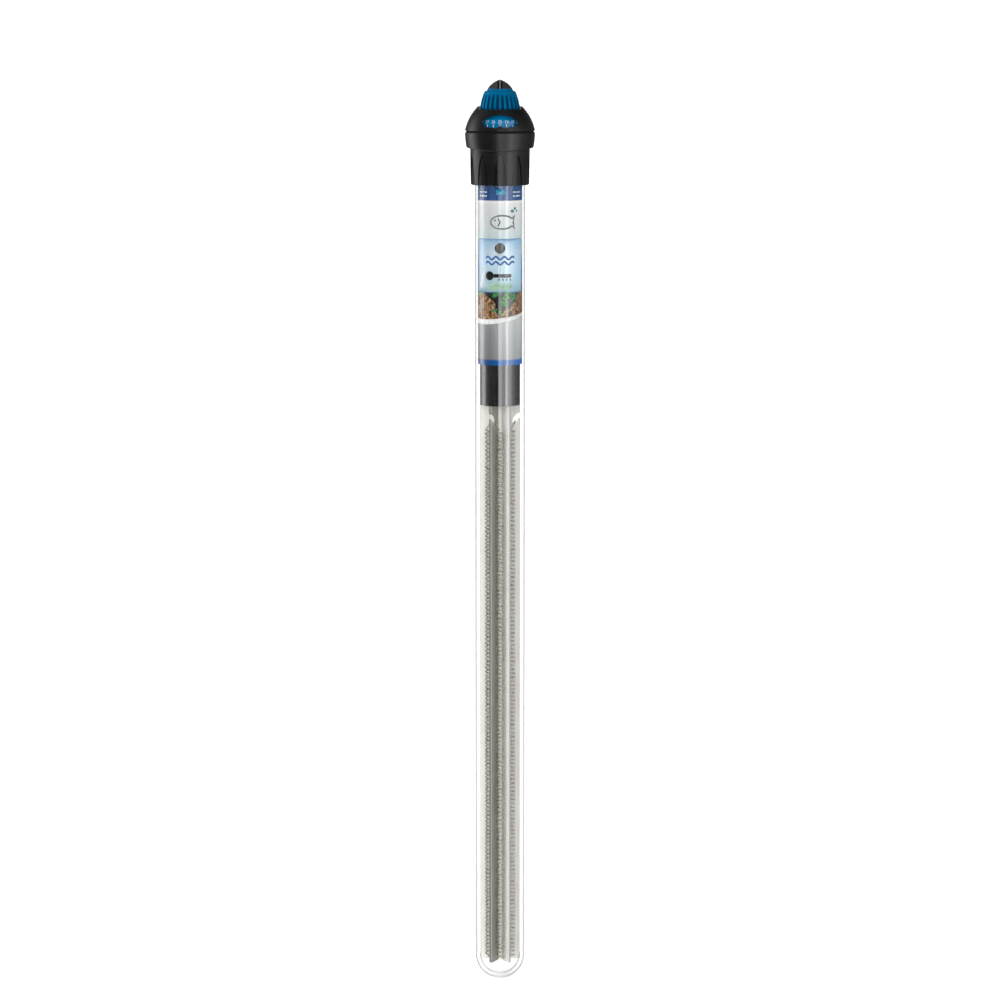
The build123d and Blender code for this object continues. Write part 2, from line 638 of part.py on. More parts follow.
with BuildPart() as head_dome:
    with BuildSketch(Plane.XZ):
        with BuildLine():
            ThreePointArc((DOME_LOW_R, SEAM_HIGH_Z), DOME_MID, DOME_HIGH)
            bowl_high_r = BOWL_LOW_R + BOWL_SLOPE * (DOME_HIGH[1] - BOWL_LOW_Z)
            Polyline(DOME_HIGH, (bowl_high_r, DOME_HIGH[1]), (BOWL_LOW_R, BOWL_LOW_Z), DOME_INNER_HIGH)
            ThreePointArc(DOME_INNER_HIGH, DOME_INNER_MID, (DOME_INNER_LOW_R, SEAM_HIGH_Z))
            Line((DOME_INNER_LOW_R, SEAM_HIGH_Z), (DOME_LOW_R, SEAM_HIGH_Z))
        make_face()
    revolve(axis=Axis.Z)
    # Lowered front rim, with the bowl's slope on its sides
    with BuildSketch(Plane.XZ):
        trough_low = BOWL_LOW_R + BOWL_SLOPE * (TROUGH_Z - BOWL_LOW_Z)
        trough_high = trough_low + BOWL_SLOPE * 4
        with BuildLine():
            Polyline(
                (-trough_low, TROUGH_Z),
                (trough_low, TROUGH_Z),
                (trough_high, TROUGH_Z + 4),
                (-trough_high, TROUGH_Z + 4),
                close=True,
            )
        make_face()
    extrude(amount=DOME_LOW_R, mode=Mode.SUBTRACT)
    # Window with blunt ends, and its pointer
    with BuildSketch(Plane.XZ):
        with BuildLine():
            tip = (WINDOW_HALF_WIDTH, WINDOW_TIP_Z)
            ThreePointArc((-tip[0], tip[1]), (0, WINDOW_HIGH_Z), tip)
            ThreePointArc(tip, WINDOW_CORNER_MID, WINDOW_CORNER)
            ThreePointArc(WINDOW_CORNER, (0, WINDOW_LOW_Z), (-WINDOW_CORNER[0], WINDOW_CORNER[1]))
            ThreePointArc(
                (-WINDOW_CORNER[0], WINDOW_CORNER[1]),
                (-WINDOW_CORNER_MID[0], WINDOW_CORNER_MID[1]),
                (-tip[0], tip[1]),
            )
        make_face()
        with BuildLine():
            pointer_foot = (POINTER_HALF_WIDTH, WINDOW_LOW_Z + 0.1)
            ThreePointArc((-pointer_foot[0], pointer_foot[1]), (-POINTER_FLANK[0], POINTER_FLANK[1]), (0, POINTER_Z))
            ThreePointArc((0, POINTER_Z), POINTER_FLANK, pointer_foot)
            Polyline(
                pointer_foot,
                (POINTER_HALF_WIDTH, WINDOW_LOW_Z - 1),
                (-POINTER_HALF_WIDTH, WINDOW_LOW_Z - 1),
                (-pointer_foot[0], pointer_foot[1]),
            )
        make_face(mode=Mode.SUBTRACT)
    extrude(amount=DOME_LOW_R + 5, mode=Mode.SUBTRACT)
head_dome.part.label = "head_dome"
export_step(head_dome.part, "parts/head_dome.step")

# ---------------------------------------------------------------- dial

# Grooves that follow the knob's flank, with round upper ends
with BuildPart() as groove_cut:
    for number in range(KNOB_RIBS):
        angle = (number + 0.5) * 360 / KNOB_RIBS
        low_end = Vector(*around(angle, *GROOVE_LOW))
        high_end = Vector(*around(angle, *GROOVE_HIGH))
        with BuildSketch(Plane(origin=low_end, z_dir=high_end - low_end)):
            Circle(GROOVE_R)
        extrude(amount=(high_end - low_end).length)
        with Locations(tuple(high_end)):
            Sphere(GROOVE_R)

with BuildPart() as knob:
    with BuildSketch(Plane.XZ):
        with BuildLine():
            Polyline((0, KNOB_TOP_Z), (KNOB_TOP_R, KNOB_TOP_Z), KNOB_STEP, KNOB_SHOULDER)
            ThreePointArc(KNOB_SHOULDER, KNOB_SHOULDER_MID, KNOB_SHOULDER_LOW)
            ThreePointArc(KNOB_SHOULDER_LOW, KNOB_FLANK_MID, KNOB_RIM)
            Polyline(
                KNOB_RIM,
                (KNOB_SKIRT_R, KNOB_RIM[1] - 0.6),
                (KNOB_SKIRT_R, KNOB_LOW_Z),
                (DIAL_HUB_R, KNOB_LOW_Z),
                (DIAL_HUB_R, DRUM_TOP_Z),
                (0, DRUM_TOP_Z),
                (0, KNOB_TOP_Z),
            )
        make_face()
    revolve(axis=Axis.Z)
    add(groove_cut.part, mode=Mode.SUBTRACT)
    tube(KNOB_LOW_Z - 1, KNOB_HOLLOW_Z, KNOB_HOLLOW_R, DIAL_HUB_R, mode=Mode.SUBTRACT)
    tube(CAP_POCKET_Z, KNOB_TOP_Z + 1, CAP_POCKET_R, mode=Mode.SUBTRACT)
    tube(DRUM_TOP_Z - 1, KNOB_TOP_Z, SCREW_HOLE_R + 0.1, mode=Mode.SUBTRACT)
    keyed_bore(DRUM_TOP_Z - 1, SPINDLE_TOP_Z + 0.1)
knob.part.label = "knob"
export_step(knob.part, "parts/knob.step")


def cap_profile(inset):
    """Outline of the tip's half section, drawn smaller by the inset."""
    high = (0, CAP_APEX_Z - inset)
    low = (CAP_R - inset, KNOB_TOP_Z)
    with BuildLine() as outline:
        ThreePointArc(low, (CAP_MID[0] - inset * half, CAP_MID[1] - inset * half), high)
        Polyline(high, (0, KNOB_TOP_Z), low)
    return outline.line.edges()


with BuildPart() as knob_cap:
    with BuildSketch(Plane.XZ):
        make_face(cap_profile(0))
    revolve(axis=Axis.Z)
    slab((-CAP_SLOT_HALF_WIDTH, CAP_SLOT_HALF_WIDTH), CAP_SLOT_Y, (KNOB_TOP_Z - 1, CAP_APEX_Z + 1),
         mode=Mode.SUBTRACT)
    with BuildSketch(Plane.XZ):
        make_face(cap_profile(CAP_SLOT_DEPTH))
    revolve(axis=Axis.Z)
    with BuildSketch(Plane.YZ):
        make_face(cap_profile(CAP_RIB_INSET))
        mirror(about=Plane.YZ)
    extrude(amount=CAP_RIB_HALF_WIDTH, both=True)
    tube(CAP_SPIGOT_Z, KNOB_TOP_Z, CAP_POCKET_R - 0.05)
knob_cap.part.label = "knob_cap"
export_step(knob_cap.part, "parts/knob_cap.step")

with BuildPart() as scale_drum:
    with BuildSketch(Plane.XZ):
        with BuildLine():
            Polyline(
                (DRUM_R, DRUM_LOW_Z),
                (DRUM_R, DRUM_CONE_Z),
                (DRUM_TOP_R, DRUM_TOP_Z),
                (0, DRUM_TOP_Z),
                (0, DIAL_HUB_Z),
                (DIAL_HUB_R, DIAL_HUB_Z),
                (DIAL_HUB_R, DRUM_TOP_Z - DRUM_WALL),
                (DRUM_TOP_R - 0.7, DRUM_TOP_Z - DRUM_WALL),
                (DRUM_R - DRUM_WALL, DRUM_CONE_Z - 0.6),
                (DRUM_R - DRUM_WALL, DRUM_LOW_Z),
                close=True,
            )
        make_face()
    revolve(axis=Axis.Z)
    keyed_bore(DIAL_HUB_Z - 1, DRUM_TOP_Z + 1)
scale_drum.part.label = "scale_drum"
export_step(scale_drum.part, "parts/scale_drum.step")

with BuildPart() as spindle:
    tube(THREAD_LOW_Z, THREAD_TOP_Z, THREAD_R)
    tube(THREAD_TOP_Z, SPINDLE_TOP_Z, SPINDLE_R)
    tube(CLIP_Z[0] - 0.1, CLIP_Z[1] + 0.1, SPINDLE_R + 1, CLIP_GROOVE_R, mode=Mode.SUBTRACT)
    slab((-4, 4), (SPINDLE_FLAT_Y, 4), (SPINDLE_FLAT_Z, SPINDLE_TOP_Z + 1), mode=Mode.SUBTRACT)
    tube(SPINDLE_TOP_Z - 6, SPINDLE_TOP_Z + 1, SCREW_HOLE_R, mode=Mode.SUBTRACT)
    chamfer(spindle.faces().sort_by(Axis.Z)[0].edges(), 0.4)
spindle.part.label = "spindle"
export_step(spindle.part, "parts/spindle.step")

with BuildPart() as spindle_clip:
    tube(*CLIP_Z, BOSS_R - 0.1, CLIP_GROOVE_R + 0.05)
    slab((-1.9, 1.9), (0, 6), (CLIP_Z[0] - 1, CLIP_Z[1] + 1), mode=Mode.SUBTRACT)
spindle_clip.part.label = "spindle_clip"
export_step(spindle_clip.part, "parts/spindle_clip.step")

with BuildPart() as spindle_seal:
    with BuildSketch(Plane.XZ):
        with Locations((SPINDLE_BORE_R + SEAL_SECTION_R + 0.01, SEAL_Z)):
            Circle(SEAL_SECTION_R)
    revolve(axis=Axis.Z)
spindle_seal.part.label = "spindle_seal"
export_step(spindle_seal.part, "parts/spindle_seal.step")

with BuildPart() as knob_screw:
    head_top_z = CAP_POCKET_Z + SCREW_HEAD_HIGH
    tube(SPINDLE_TOP_Z - 5, CAP_POCKET_Z, SCREW_R)
    tube(CAP_POCKET_Z, head_top_z, SCREW_HEAD_R)
    slab((-3, 3), (-SCREW_SLOT_HALF_WIDTH, SCREW_SLOT_HALF_WIDTH), (head_top_z - SCREW_SLOT_DEPTH, head_top_z),
         mode=Mode.SUBTRACT)
knob_screw.part.label = "knob_screw"
export_step(knob_screw.part, "parts/knob_screw.step")

# ---------------------------------------------------------------- thermostat

frame_x = (-FRAME_HALF_WIDTH, FRAME_HALF_WIDTH)
plate_back_y = FRAME_Y + FRAME_THICKNESS

with BuildPart() as thermostat_frame:
    slab(frame_x, (FRAME_Y, plate_back_y), (FRAME_LOW_Z, STOPPER_Z))
    slab(frame_x, (-4, plate_back_y), (STOPPER_Z - FRAME_THICKNESS, STOPPER_Z))
    slab(frame_x, (2, plate_back_y), (FRAME_LOW_Z, FRAME_LOW_Z + FRAME_THICKNESS))
    tube(STOPPER_Z - 2, STOPPER_Z + 1, THREAD_R + 0.4, mode=Mode.SUBTRACT)
    for z in RIVET_Z + CLAMP_RIVET_Z:
        pin_along_y(0, z, 3, 6, RIVET_HOLE_R, mode=Mode.SUBTRACT)
thermostat_frame.part.label = "thermostat_frame"
export_step(thermostat_frame.part, "parts/thermostat_frame.step")

# The nose under the nut bears on the contact strip
with BuildPart() as setting_nut:
    slab((-NUT_HALF_WIDTH, NUT_HALF_WIDTH), NUT_Y, (NUT_LOW_Z, NUT_HIGH_Z))
    slab((-NUT_NOSE_HALF_WIDTH, NUT_NOSE_HALF_WIDTH), NUT_NOSE_Y, (NUT_NOSE_Z, NUT_LOW_Z))
    tube(NUT_LOW_Z - 1, NUT_HIGH_Z + 1, THREAD_R + 0.05, mode=Mode.SUBTRACT)
setting_nut.part.label = "setting_nut"
export_step(setting_nut.part, "parts/setting_nut.step")

with BuildPart() as nut_spring:
    tube(NUT_HIGH_Z + 0.05, STOPPER_Z - FRAME_THICKNESS, *SPRING_R)
nut_spring.part.label = "nut_spring"
export_step(nut_spring.part, "parts/nut_spring.step")

with BuildPart() as bimetal_strip:
    slab((-STRIP_HALF_WIDTH, STRIP_HALF_WIDTH), STRIP_Y, (STRIP_LOW_Z, STRIP_HIGH_Z))
    pin_along_y(0, CONTACT_Z, -1, 1, CONTACT_SHANK_R + 0.02, mode=Mode.SUBTRACT)
    fillet(bimetal_strip.edges().filter_by(Axis.Y).group_by(Axis.Z)[-1], radius=STRIP_CORNER_R)
bimetal_strip.part.label = "bimetal_strip"
export_step(bimetal_strip.part, "parts/bimetal_strip.step")

with BuildPart() as moving_contact:
    pin_along_y(0, CONTACT_Z, STRIP_Y[0] - 0.3, STRIP_Y[1], CONTACT_SHANK_R)
    pin_along_y(0, CONTACT_Z, STRIP_Y[1], CONTACT_TOP_Y, CONTACT_R)
moving_contact.part.label = "moving_contact"
export_step(moving_contact.part, "parts/moving_contact.step")

with BuildPart() as fixed_contact:
    pin_along_y(0, CONTACT_Z, *FIXED_CONTACT_Y, CONTACT_R)
fixed_contact.part.label = "fixed_contact"
export_step(fixed_contact.part, "parts/fixed_contact.step")

with BuildPart() as contact_bracket:
    slab((-BRACKET_HALF_WIDTH, BRACKET_HALF_WIDTH), BRACKET_Y, BRACKET_Z)
    for z in RIVET_Z:
        pin_along_y(0, z, 1, 3, RIVET_HOLE_R, mode=Mode.SUBTRACT)
contact_bracket.part.label = "contact_bracket"
export_step(contact_bracket.part, "parts/contact_bracket.step")

with BuildPart() as contact_insulator:
    slab((-INSULATOR_HALF_WIDTH, INSULATOR_HALF_WIDTH), (BRACKET_Y[1], FRAME_Y), INSULATOR_Z)
    for z in RIVET_Z:
        pin_along_y(0, z, 1, 5, RIVET_HOLE_R, mode=Mode.SUBTRACT)
contact_insulator.part.label = "contact_insulator"
export_step(contact_insulator.part, "parts/contact_insulator.step")

with BuildPart() as magnet:
    slab((-MAGNET_HALF_WIDTH, MAGNET_HALF_WIDTH), MAGNET_Y, MAGNET_Z)
magnet.part.label = "magnet"
export_step(magnet.part, "parts/magnet.step")

with BuildPart() as bimetal_clamp:
    slab((-STRIP_CLAMP_HALF_WIDTH, STRIP_CLAMP_HALF_WIDTH), (STRIP_Y[0], FRAME_Y), STRIP_CLAMP_Z)
    for z in CLAMP_RIVET_Z:
        pin_along_y(0, z, -1, 5, RIVET_HOLE_R, mode=Mode.SUBTRACT)
bimetal_clamp.part.label = "bimetal_clamp"
export_step(bimetal_clamp.part, "parts/bimetal_clamp.step")

with BuildPart() as rivets:
    fronts = {**dict.fromkeys(RIVET_Z, BRACKET_Y[0]), **dict.fromkeys(CLAMP_RIVET_Z, STRIP_Y[0])}
    for z, front in fronts.items():
        pin_along_y(0, z, front - RIVET_HEAD, plate_back_y + RIVET_HEAD, RIVET_R)
        pin_along_y(0, z, front - RIVET_HEAD, front, RIVET_HEAD_R)
        pin_along_y(0, z, plate_back_y, plate_back_y + RIVET_HEAD, RIVET_HEAD_R)
rivets.part.label = "rivets"
export_step(rivets.part, "parts/rivets.step")

for number, side in enumerate((-1, 1), start=1):
    foot_x = sorted((side * TERMINAL_X[0], side * TERMINAL_X[2]))
    post_x = sorted((side * TERMINAL_X[1], side * TERMINAL_X[2]))
    with BuildPart() as terminal:
        slab(foot_x, (TERMINAL_Y[1], FRAME_Y), TERMINAL_Z[:2])
        slab(post_x, (TERMINAL_Y[0], FRAME_Y), (TERMINAL_Z[0], TERMINAL_Z[2]))
    terminal.part.label = f"terminal_{number}"
    export_step(terminal.part, f"parts/terminal_{number}.step")
    with BuildPart() as mains_lead:
        post(side * SPLICE_X, SPLICE_Y, TERMINAL_Z[2], SPLICE_Z[0], WIRE_R)
    mains_lead.part.label = f"mains_lead_{number}"
    export_step(mains_lead.part, f"parts/mains_lead_{number}.step")
    with BuildPart() as wire_splice:
        post(side * SPLICE_X, SPLICE_Y, *SPLICE_Z, SPLICE_R)
        post(side * SPLICE_X, SPLICE_Y, SPLICE_Z[1] - 2, SPLICE_Z[1] + 1, SPLICE_R - 0.4, mode=Mode.SUBTRACT)
    wire_splice.part.label = f"wire_splice_{number}"
    export_step(wire_splice.part, f"parts/wire_splice_{number}.step")

# ---------------------------------------------------------------- lamp, fuse and capacitor

with BuildPart() as lamp_bulb:
    lamp_z = (LAMP_Z - LAMP_HALF_LENGTH, LAMP_Z + LAMP_HALF_LENGTH)
    post(0, LAMP_Y, *lamp_z, LAMP_R)
    fillet(lamp_bulb.faces().sort_by(Axis.Z)[-1].edges(), radius=1.6)
    fillet(lamp_bulb.faces().sort_by(Axis.Z)[0].edges(), radius=0.8)
    post(0, LAMP_Y, lamp_z[0] + 0.6, lamp_z[1] - 1, LAMP_R - LAMP_WALL, mode=Mode.SUBTRACT)
lamp_bulb.part.label = "lamp_bulb"
export_step(lamp_bulb.part, "parts/lamp_bulb.step")

with BuildPart() as lamp_electrodes:
    electrode_y = (LAMP_Y - ELECTRODE_HALF_THICKNESS, LAMP_Y + ELECTRODE_HALF_THICKNESS)
    for side in (-1, 1):
        electrode_x = sorted(side * x for x in ELECTRODE_X)
        slab(electrode_x, electrode_y, (lamp_z[0] + 0.7, lamp_z[1] - 2.4))
lamp_electrodes.part.label = "lamp_electrodes"
export_step(lamp_electrodes.part, "parts/lamp_electrodes.step")

with BuildPart() as lamp_reflector:
    slab((-REFLECTOR_HALF_WIDTH, REFLECTOR_HALF_WIDTH), REFLECTOR_Y,
         (LAMP_Z - REFLECTOR_HALF_LENGTH, LAMP_Z + REFLECTOR_HALF_LENGTH))
lamp_reflector.part.label = "lamp_reflector"
export_step(lamp_reflector.part, "parts/lamp_reflector.step")

with BuildPart() as lamp_resistor:
    post(0, LAMP_Y, *RESISTOR_Z, RESISTOR_R)
    post(0, LAMP_Y, RESISTOR_LEAD_Z, lamp_z[0], LEAD_R)
lamp_resistor.part.label = "lamp_resistor"
export_step(lamp_resistor.part, "parts/lamp_resistor.step")

with BuildPart() as thermal_fuse:
    post(*FUSE_PLACE, *FUSE_Z, FUSE_R)
    fillet(thermal_fuse.faces().sort_by(Axis.Z)[-1].edges(), radius=SMALL_CORNER_R)
    post(*FUSE_PLACE, *FUSE_LEAD_Z, FUSE_LEAD_R)
thermal_fuse.part.label = "thermal_fuse"
export_step(thermal_fuse.part, "parts/thermal_fuse.step")

with BuildPart() as capacitor:
    slab(CAPACITOR_X, CAPACITOR_Y, CAPACITOR_Z)
    fillet(capacitor.edges().filter_by(Axis.Z), radius=SMALL_CORNER_R)
    for y in CAPACITOR_LEAD_Y:
        post(sum(CAPACITOR_X) / 2, y, CAPACITOR_LEAD_Z, CAPACITOR_Z[0] + 1, LEAD_R)
capacitor.part.label = "capacitor"
export_step(capacitor.part, "parts/capacitor.step")
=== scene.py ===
from math import ceil, cos, floor, hypot, pi, radians, sin, tau
from random import Random

import bmesh
import bpy
from mathutils import Matrix, Vector


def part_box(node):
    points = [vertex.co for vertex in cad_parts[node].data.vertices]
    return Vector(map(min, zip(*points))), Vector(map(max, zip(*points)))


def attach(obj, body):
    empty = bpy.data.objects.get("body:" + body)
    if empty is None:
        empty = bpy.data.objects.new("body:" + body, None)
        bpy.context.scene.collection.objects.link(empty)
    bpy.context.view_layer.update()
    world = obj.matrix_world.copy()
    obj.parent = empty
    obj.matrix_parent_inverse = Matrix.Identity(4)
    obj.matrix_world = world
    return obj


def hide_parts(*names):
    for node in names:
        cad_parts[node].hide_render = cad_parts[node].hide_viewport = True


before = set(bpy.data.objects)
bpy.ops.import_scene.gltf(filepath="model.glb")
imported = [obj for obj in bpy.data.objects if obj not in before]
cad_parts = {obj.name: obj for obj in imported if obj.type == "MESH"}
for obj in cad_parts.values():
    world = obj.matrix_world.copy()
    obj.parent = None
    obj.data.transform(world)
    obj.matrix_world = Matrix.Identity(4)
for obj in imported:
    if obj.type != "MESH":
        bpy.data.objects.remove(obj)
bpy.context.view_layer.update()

MM = 0.001

# ---------------------------------------------------------------- driving sizes, in metres

GLASS_R = 13.0 * MM
GLASS_INNER_R = 11.6 * MM
GLASS_END_INNER_R = 10.8 * MM
GLASS_END_THICK = 2.3 * MM
GLASS_NECK_R = 12.7 * MM
GLASS_LIP_R = 13.8 * MM
GLASS_LIP_ROUND = 0.4 * MM
GLASS_NECK_TOP_Z = 436.3 * MM
GLASS_LIP_LOW_Z = 436.5 * MM
GLASS_MOUTH_Z = 439.0 * MM
GLASS_NECK_DROP = 14.0 * MM
GLASS_END_TOP_Z = 14.0 * MM
GLASS_SEGMENTS = 128

LABEL_R = 11.5 * MM
PRINT_LIFT = 0.012 * MM
PRINT_THICKNESS = 0.012 * MM
PRINT_IOR = 2.2

COIL_RHO = 7.2 * MM
COIL_R = 1.8 * MM
COIL_PITCH = 2.14 * MM
COIL_STEPS = 16
WIRE_R = 0.36 * MM
LINK_WIRE_R = 0.95 * WIRE_R
NOTCH_Z = 300.6 * MM
LINK_HOLE_RHO = 4.8 * MM
LINK_HOLE_Z = 12.4 * MM

SPRING_WIRE_R = 0.38 * MM
SPRING_TURNS = 5.5
SPRING_STEPS = 24
SPRING_GAP_LOW = 0.54 * MM
SPRING_GAP_HIGH = 0.4 * MM

DRUM_R = 14.3 * MM
DRUM_CONE_Z = 457.2 * MM
DRUM_CONE_SLOPE = 2.6 / 3.4
NUMERAL_Z = 456.9 * MM
NUMERAL_HEIGHT = 1.65 * MM
NUMERAL_STEP = radians(13.5)
TICK_Z = (454.1 * MM, 455.5 * MM)
TICK_WIDTH = 0.6 * MM
TEMPERATURES = range(20, 34)
MIDDLE_TEMPERATURE = 25

CAMERA_PLACE = (0, -1.53, 0.49645)
CAMERA_PITCH = radians(8.8)
CAMERA_LENS = 106.2
FLOOR_REACH = 60.0

# ---------------------------------------------------------------- camera

camera_data = bpy.data.cameras.new("camera")
camera_data.lens = CAMERA_LENS
camera_data.sensor_width = 36
camera = bpy.data.objects.new("camera", camera_data)
camera.location = CAMERA_PLACE
camera.rotation_euler = (pi / 2 - CAMERA_PITCH, 0, 0)
bpy.context.scene.collection.objects.link(camera)
bpy.context.scene.camera = camera
bpy.context.scene.view_settings.view_transform = "Standard"
bpy.context.scene.view_settings.look = "None"

# ---------------------------------------------------------------- node helpers


def srgb(red, green, blue):
    """Linear colour of an 8-bit display colour."""
    linear = []
    for value in (red, green, blue):
        share = value / 255
        linear.append(share / 12.92 if share <= 0.04045 else ((share + 0.055) / 1.055) ** 2.4)
    return (*linear, 1)


def grey(value):
    return (value, value, value, 1)


class Nodes:
    """Adds nodes to one node tree."""

    def __init__(self, tree):
        self.tree = tree
        self.coordinates = None

    def node(self, kind, **settings):
        node = self.tree.nodes.new(kind)
        for key, value in settings.items():
            setattr(node, key, value)
        return node

    def link(self, source, target):
        self.tree.links.new(source, target)

    def place(self):
        """The point's place in the row frame, in metres."""
        if self.coordinates is None:
            self.coordinates = self.node("ShaderNodeTexCoord").outputs["Object"]
        return self.coordinates

    def stretch(self, x, y, z):
        mapping = self.node("ShaderNodeMapping")
        mapping.inputs["Scale"].default_value = (x, y, z)
        self.link(self.place(), mapping.inputs["Vector"])
        return mapping.outputs["Vector"]

    def noise(self, scale, detail=2.0, roughness=0.5, vector=None):
        node = self.node("ShaderNodeTexNoise")
        node.inputs["Scale"].default_value = scale
        node.inputs["Detail"].default_value = detail
        node.inputs["Roughness"].default_value = roughness
        self.link(vector or self.place(), node.inputs["Vector"])
        return node.outputs["Fac"]

    def cells(self, scale, feature="F1", output="Distance", vector=None):
        node = self.node("ShaderNodeTexVoronoi", feature=feature)
        node.inputs["Scale"].default_value = scale
        self.link(vector or self.place(), node.inputs["Vector"])
        return node.outputs[output]

    def maths(self, operation, first, second=None, third=None, clamp=False):
        node = self.node("ShaderNodeMath", operation=operation, use_clamp=clamp)
        for index, value in enumerate((first, second, third)):
            if value is None:
                continue
            if isinstance(value, (int, float)):
                node.inputs[index].default_value = value
            else:
                self.link(value, node.inputs[index])
        return node.outputs[0]

    def between(self, value, low, high, to_low=0.0, to_high=1.0):
        node = self.node("ShaderNodeMapRange", clamp=True)
        node.inputs["From Min"].default_value = low
        node.inputs["From Max"].default_value = high
        node.inputs["To Min"].default_value = to_low
        node.inputs["To Max"].default_value = to_high
        self.link(value, node.inputs["Value"])
        return node.outputs["Result"]

    def ramp(self, value, stops, interpolation="LINEAR"):
        """stops are (position, colour) pairs in rising order."""
        node = self.node("ShaderNodeValToRGB")
        ramp = node.color_ramp
        ramp.interpolation = interpolation
        while len(ramp.elements) < len(stops):
            ramp.elements.new(1.0)
        for element, (position, colour) in zip(ramp.elements, stops):
            element.position = position
            element.color = colour
        self.link(value, node.inputs["Fac"])
        return node.outputs["Color"]

    def mix(self, factor, first, second, blend="MIX"):
        node = self.node("ShaderNodeMix", data_type="RGBA", blend_type=blend)
        for socket, value in ((node.inputs[0], factor), (node.inputs[6], first), (node.inputs[7], second)):
            if isinstance(value, (int, float, tuple)):
                socket.default_value = value
            else:
                self.link(value, socket)
        return node.outputs[2]

    def axis(self, name):
        node = self.node("ShaderNodeSeparateXYZ")
        self.link(self.place(), node.inputs[0])
        return node.outputs[name]

    def radius(self):
        """Distance from the tube's axis."""
        x, y = self.axis("X"), self.axis("Y")
        squares = self.maths("ADD", self.maths("MULTIPLY", x, x), self.maths("MULTIPLY", y, y))
        return self.maths("SQRT", squares)

    def wall(self, low, high):
        """Radius at this height of a straight wall between two (radius, height) points in millimetres."""
        return self.between(self.axis("Z"), low[1] * MM, high[1] * MM, low[0] * MM, high[0] * MM)


class Shader(Nodes):
    """Builds one material's nodes."""

    def __init__(self, name):
        self.material = bpy.data.materials.new(name)
        self.material.use_nodes = True
        super().__init__(self.material.node_tree)
        self.bsdf = self.tree.nodes["Principled BSDF"]
        self.output = self.tree.nodes["Material Output"]

    def colour(self, value):
        socket = self.bsdf.inputs["Base Color"]
        if isinstance(value, tuple):
            socket.default_value = value
        else:
            self.link(value, socket)

    def rough(self, value):
        socket = self.bsdf.inputs["Roughness"]
        if isinstance(value, (int, float)):
            socket.default_value = value
        else:
            self.link(value, socket)

    def set(self, **sockets):
        for name, value in sockets.items():
            self.bsdf.inputs[name.replace("_", " ")].default_value = value

    def bump(self, height, strength, distance):
        node = self.node("ShaderNodeBump")
        node.inputs["Strength"].default_value = strength
        node.inputs["Distance"].default_value = distance
        self.link(height, node.inputs["Height"])
        if self.bsdf.inputs["Normal"].is_linked:
            self.link(self.bsdf.inputs["Normal"].links[0].from_socket, node.inputs["Normal"])
        self.link(node.outputs["Normal"], self.bsdf.inputs["Normal"])


# ---------------------------------------------------------------- materials


def plastic(name, dark, light, roughness, grain=0.1):
    """Moulded plastic with a fine spark-eroded grain and faint cloudiness."""
    s = Shader(name)
    cloud = s.noise(120, detail=4)
    s.colour(s.mix(s.between(cloud, 0.35, 0.65), dark, light))
    s.rough(s.between(s.noise(700, detail=3), 0.3, 0.7, roughness - 0.04, roughness + 0.05))
    s.bump(s.noise(5200, detail=2), grain, 0.02 * MM)
    return s.material


# Walls on the head as (radius, height) points in millimetres: the dome's bowl, a hair outside its surface,
# which bounds its painted highlight, and the knob's side over its ribs, from its foot by its shoulder to its
# top, from which the painted shade in its grooves is measured
BOWL_LOW = (10.46, 462.0)
BOWL_HIGH = (11.31, 464.5)
BOWL_FLOOR_Z = 462.1
KNOB_FOOT = (10.35, 463.5)
KNOB_SHOULDER = (9.5, 467.7)
KNOB_TOP = (8.4, 471.1)
SKIRT_TOP_Z = 440
SKIRT_FLOOR_R = 14.7


def head_plastic():
    """Satin black moulding, with a painted highlight in the dome's bowl, and polished on the floors of the
    grip recesses.
    """
    s = Shader("black_plastic")
    cloud = s.noise(120, detail=4)
    black = s.mix(s.between(cloud, 0.35, 0.65), srgb(11, 12, 12), srgb(16, 17, 17))
    # Painted highlight: the dome's bowl is pale grey, standing for light on its inner wall
    inside = s.maths("LESS_THAN", s.radius(), s.wall(BOWL_LOW, BOWL_HIGH))
    bowl = s.maths("MULTIPLY", inside, s.maths("GREATER_THAN", s.axis("Z"), BOWL_FLOOR_Z * MM))
    s.colour(s.mix(bowl, black, srgb(190, 192, 190)))
    satin = s.between(s.noise(700, detail=3), 0.3, 0.7, 0.27, 0.35)
    skirt = s.maths("LESS_THAN", s.axis("Z"), SKIRT_TOP_Z * MM)
    deep = s.between(s.radius(), SKIRT_FLOOR_R * MM, (SKIRT_FLOOR_R + 0.15) * MM, 1.0, 0.0)
    floors = s.maths("MULTIPLY", deep, skirt)
    s.rough(s.maths("MULTIPLY_ADD", floors, -0.16, satin))
    s.set(IOR=1.6)
    s.bump(s.noise(5200, detail=2), 0.08, 0.02 * MM)
    return s.material


def knob_plastic():
    """Satin blue moulding, with painted shade deep inside its grooves."""
    s = Shader("dial_blue")
    blue = s.mix(s.between(s.noise(120, detail=4), 0.35, 0.65), srgb(0, 104, 150), srgb(0, 112, 160))
    walls = s.maths("ADD", s.wall(KNOB_FOOT, KNOB_SHOULDER), s.wall(KNOB_SHOULDER, KNOB_TOP))
    side = s.maths("SUBTRACT", walls, KNOB_SHOULDER[0] * MM)
    depth = s.maths("SUBTRACT", side, s.radius())
    grooves = s.maths("LESS_THAN", s.axis("Z"), (KNOB_TOP[1] - 0.1) * MM)
    # Painted shade: the blue darkens deep in the grooves
    deep = s.maths("MULTIPLY", s.between(depth, 0.3 * MM, 0.8 * MM), grooves)
    s.colour(s.mix(deep, blue, srgb(2, 66, 98)))
    s.rough(s.between(s.noise(700, detail=3), 0.3, 0.7, 0.38, 0.47))
    s.set(IOR=1.12, Metallic=0.45)
    s.bump(s.noise(5200, detail=2), 0.08, 0.02 * MM)
    return s.material


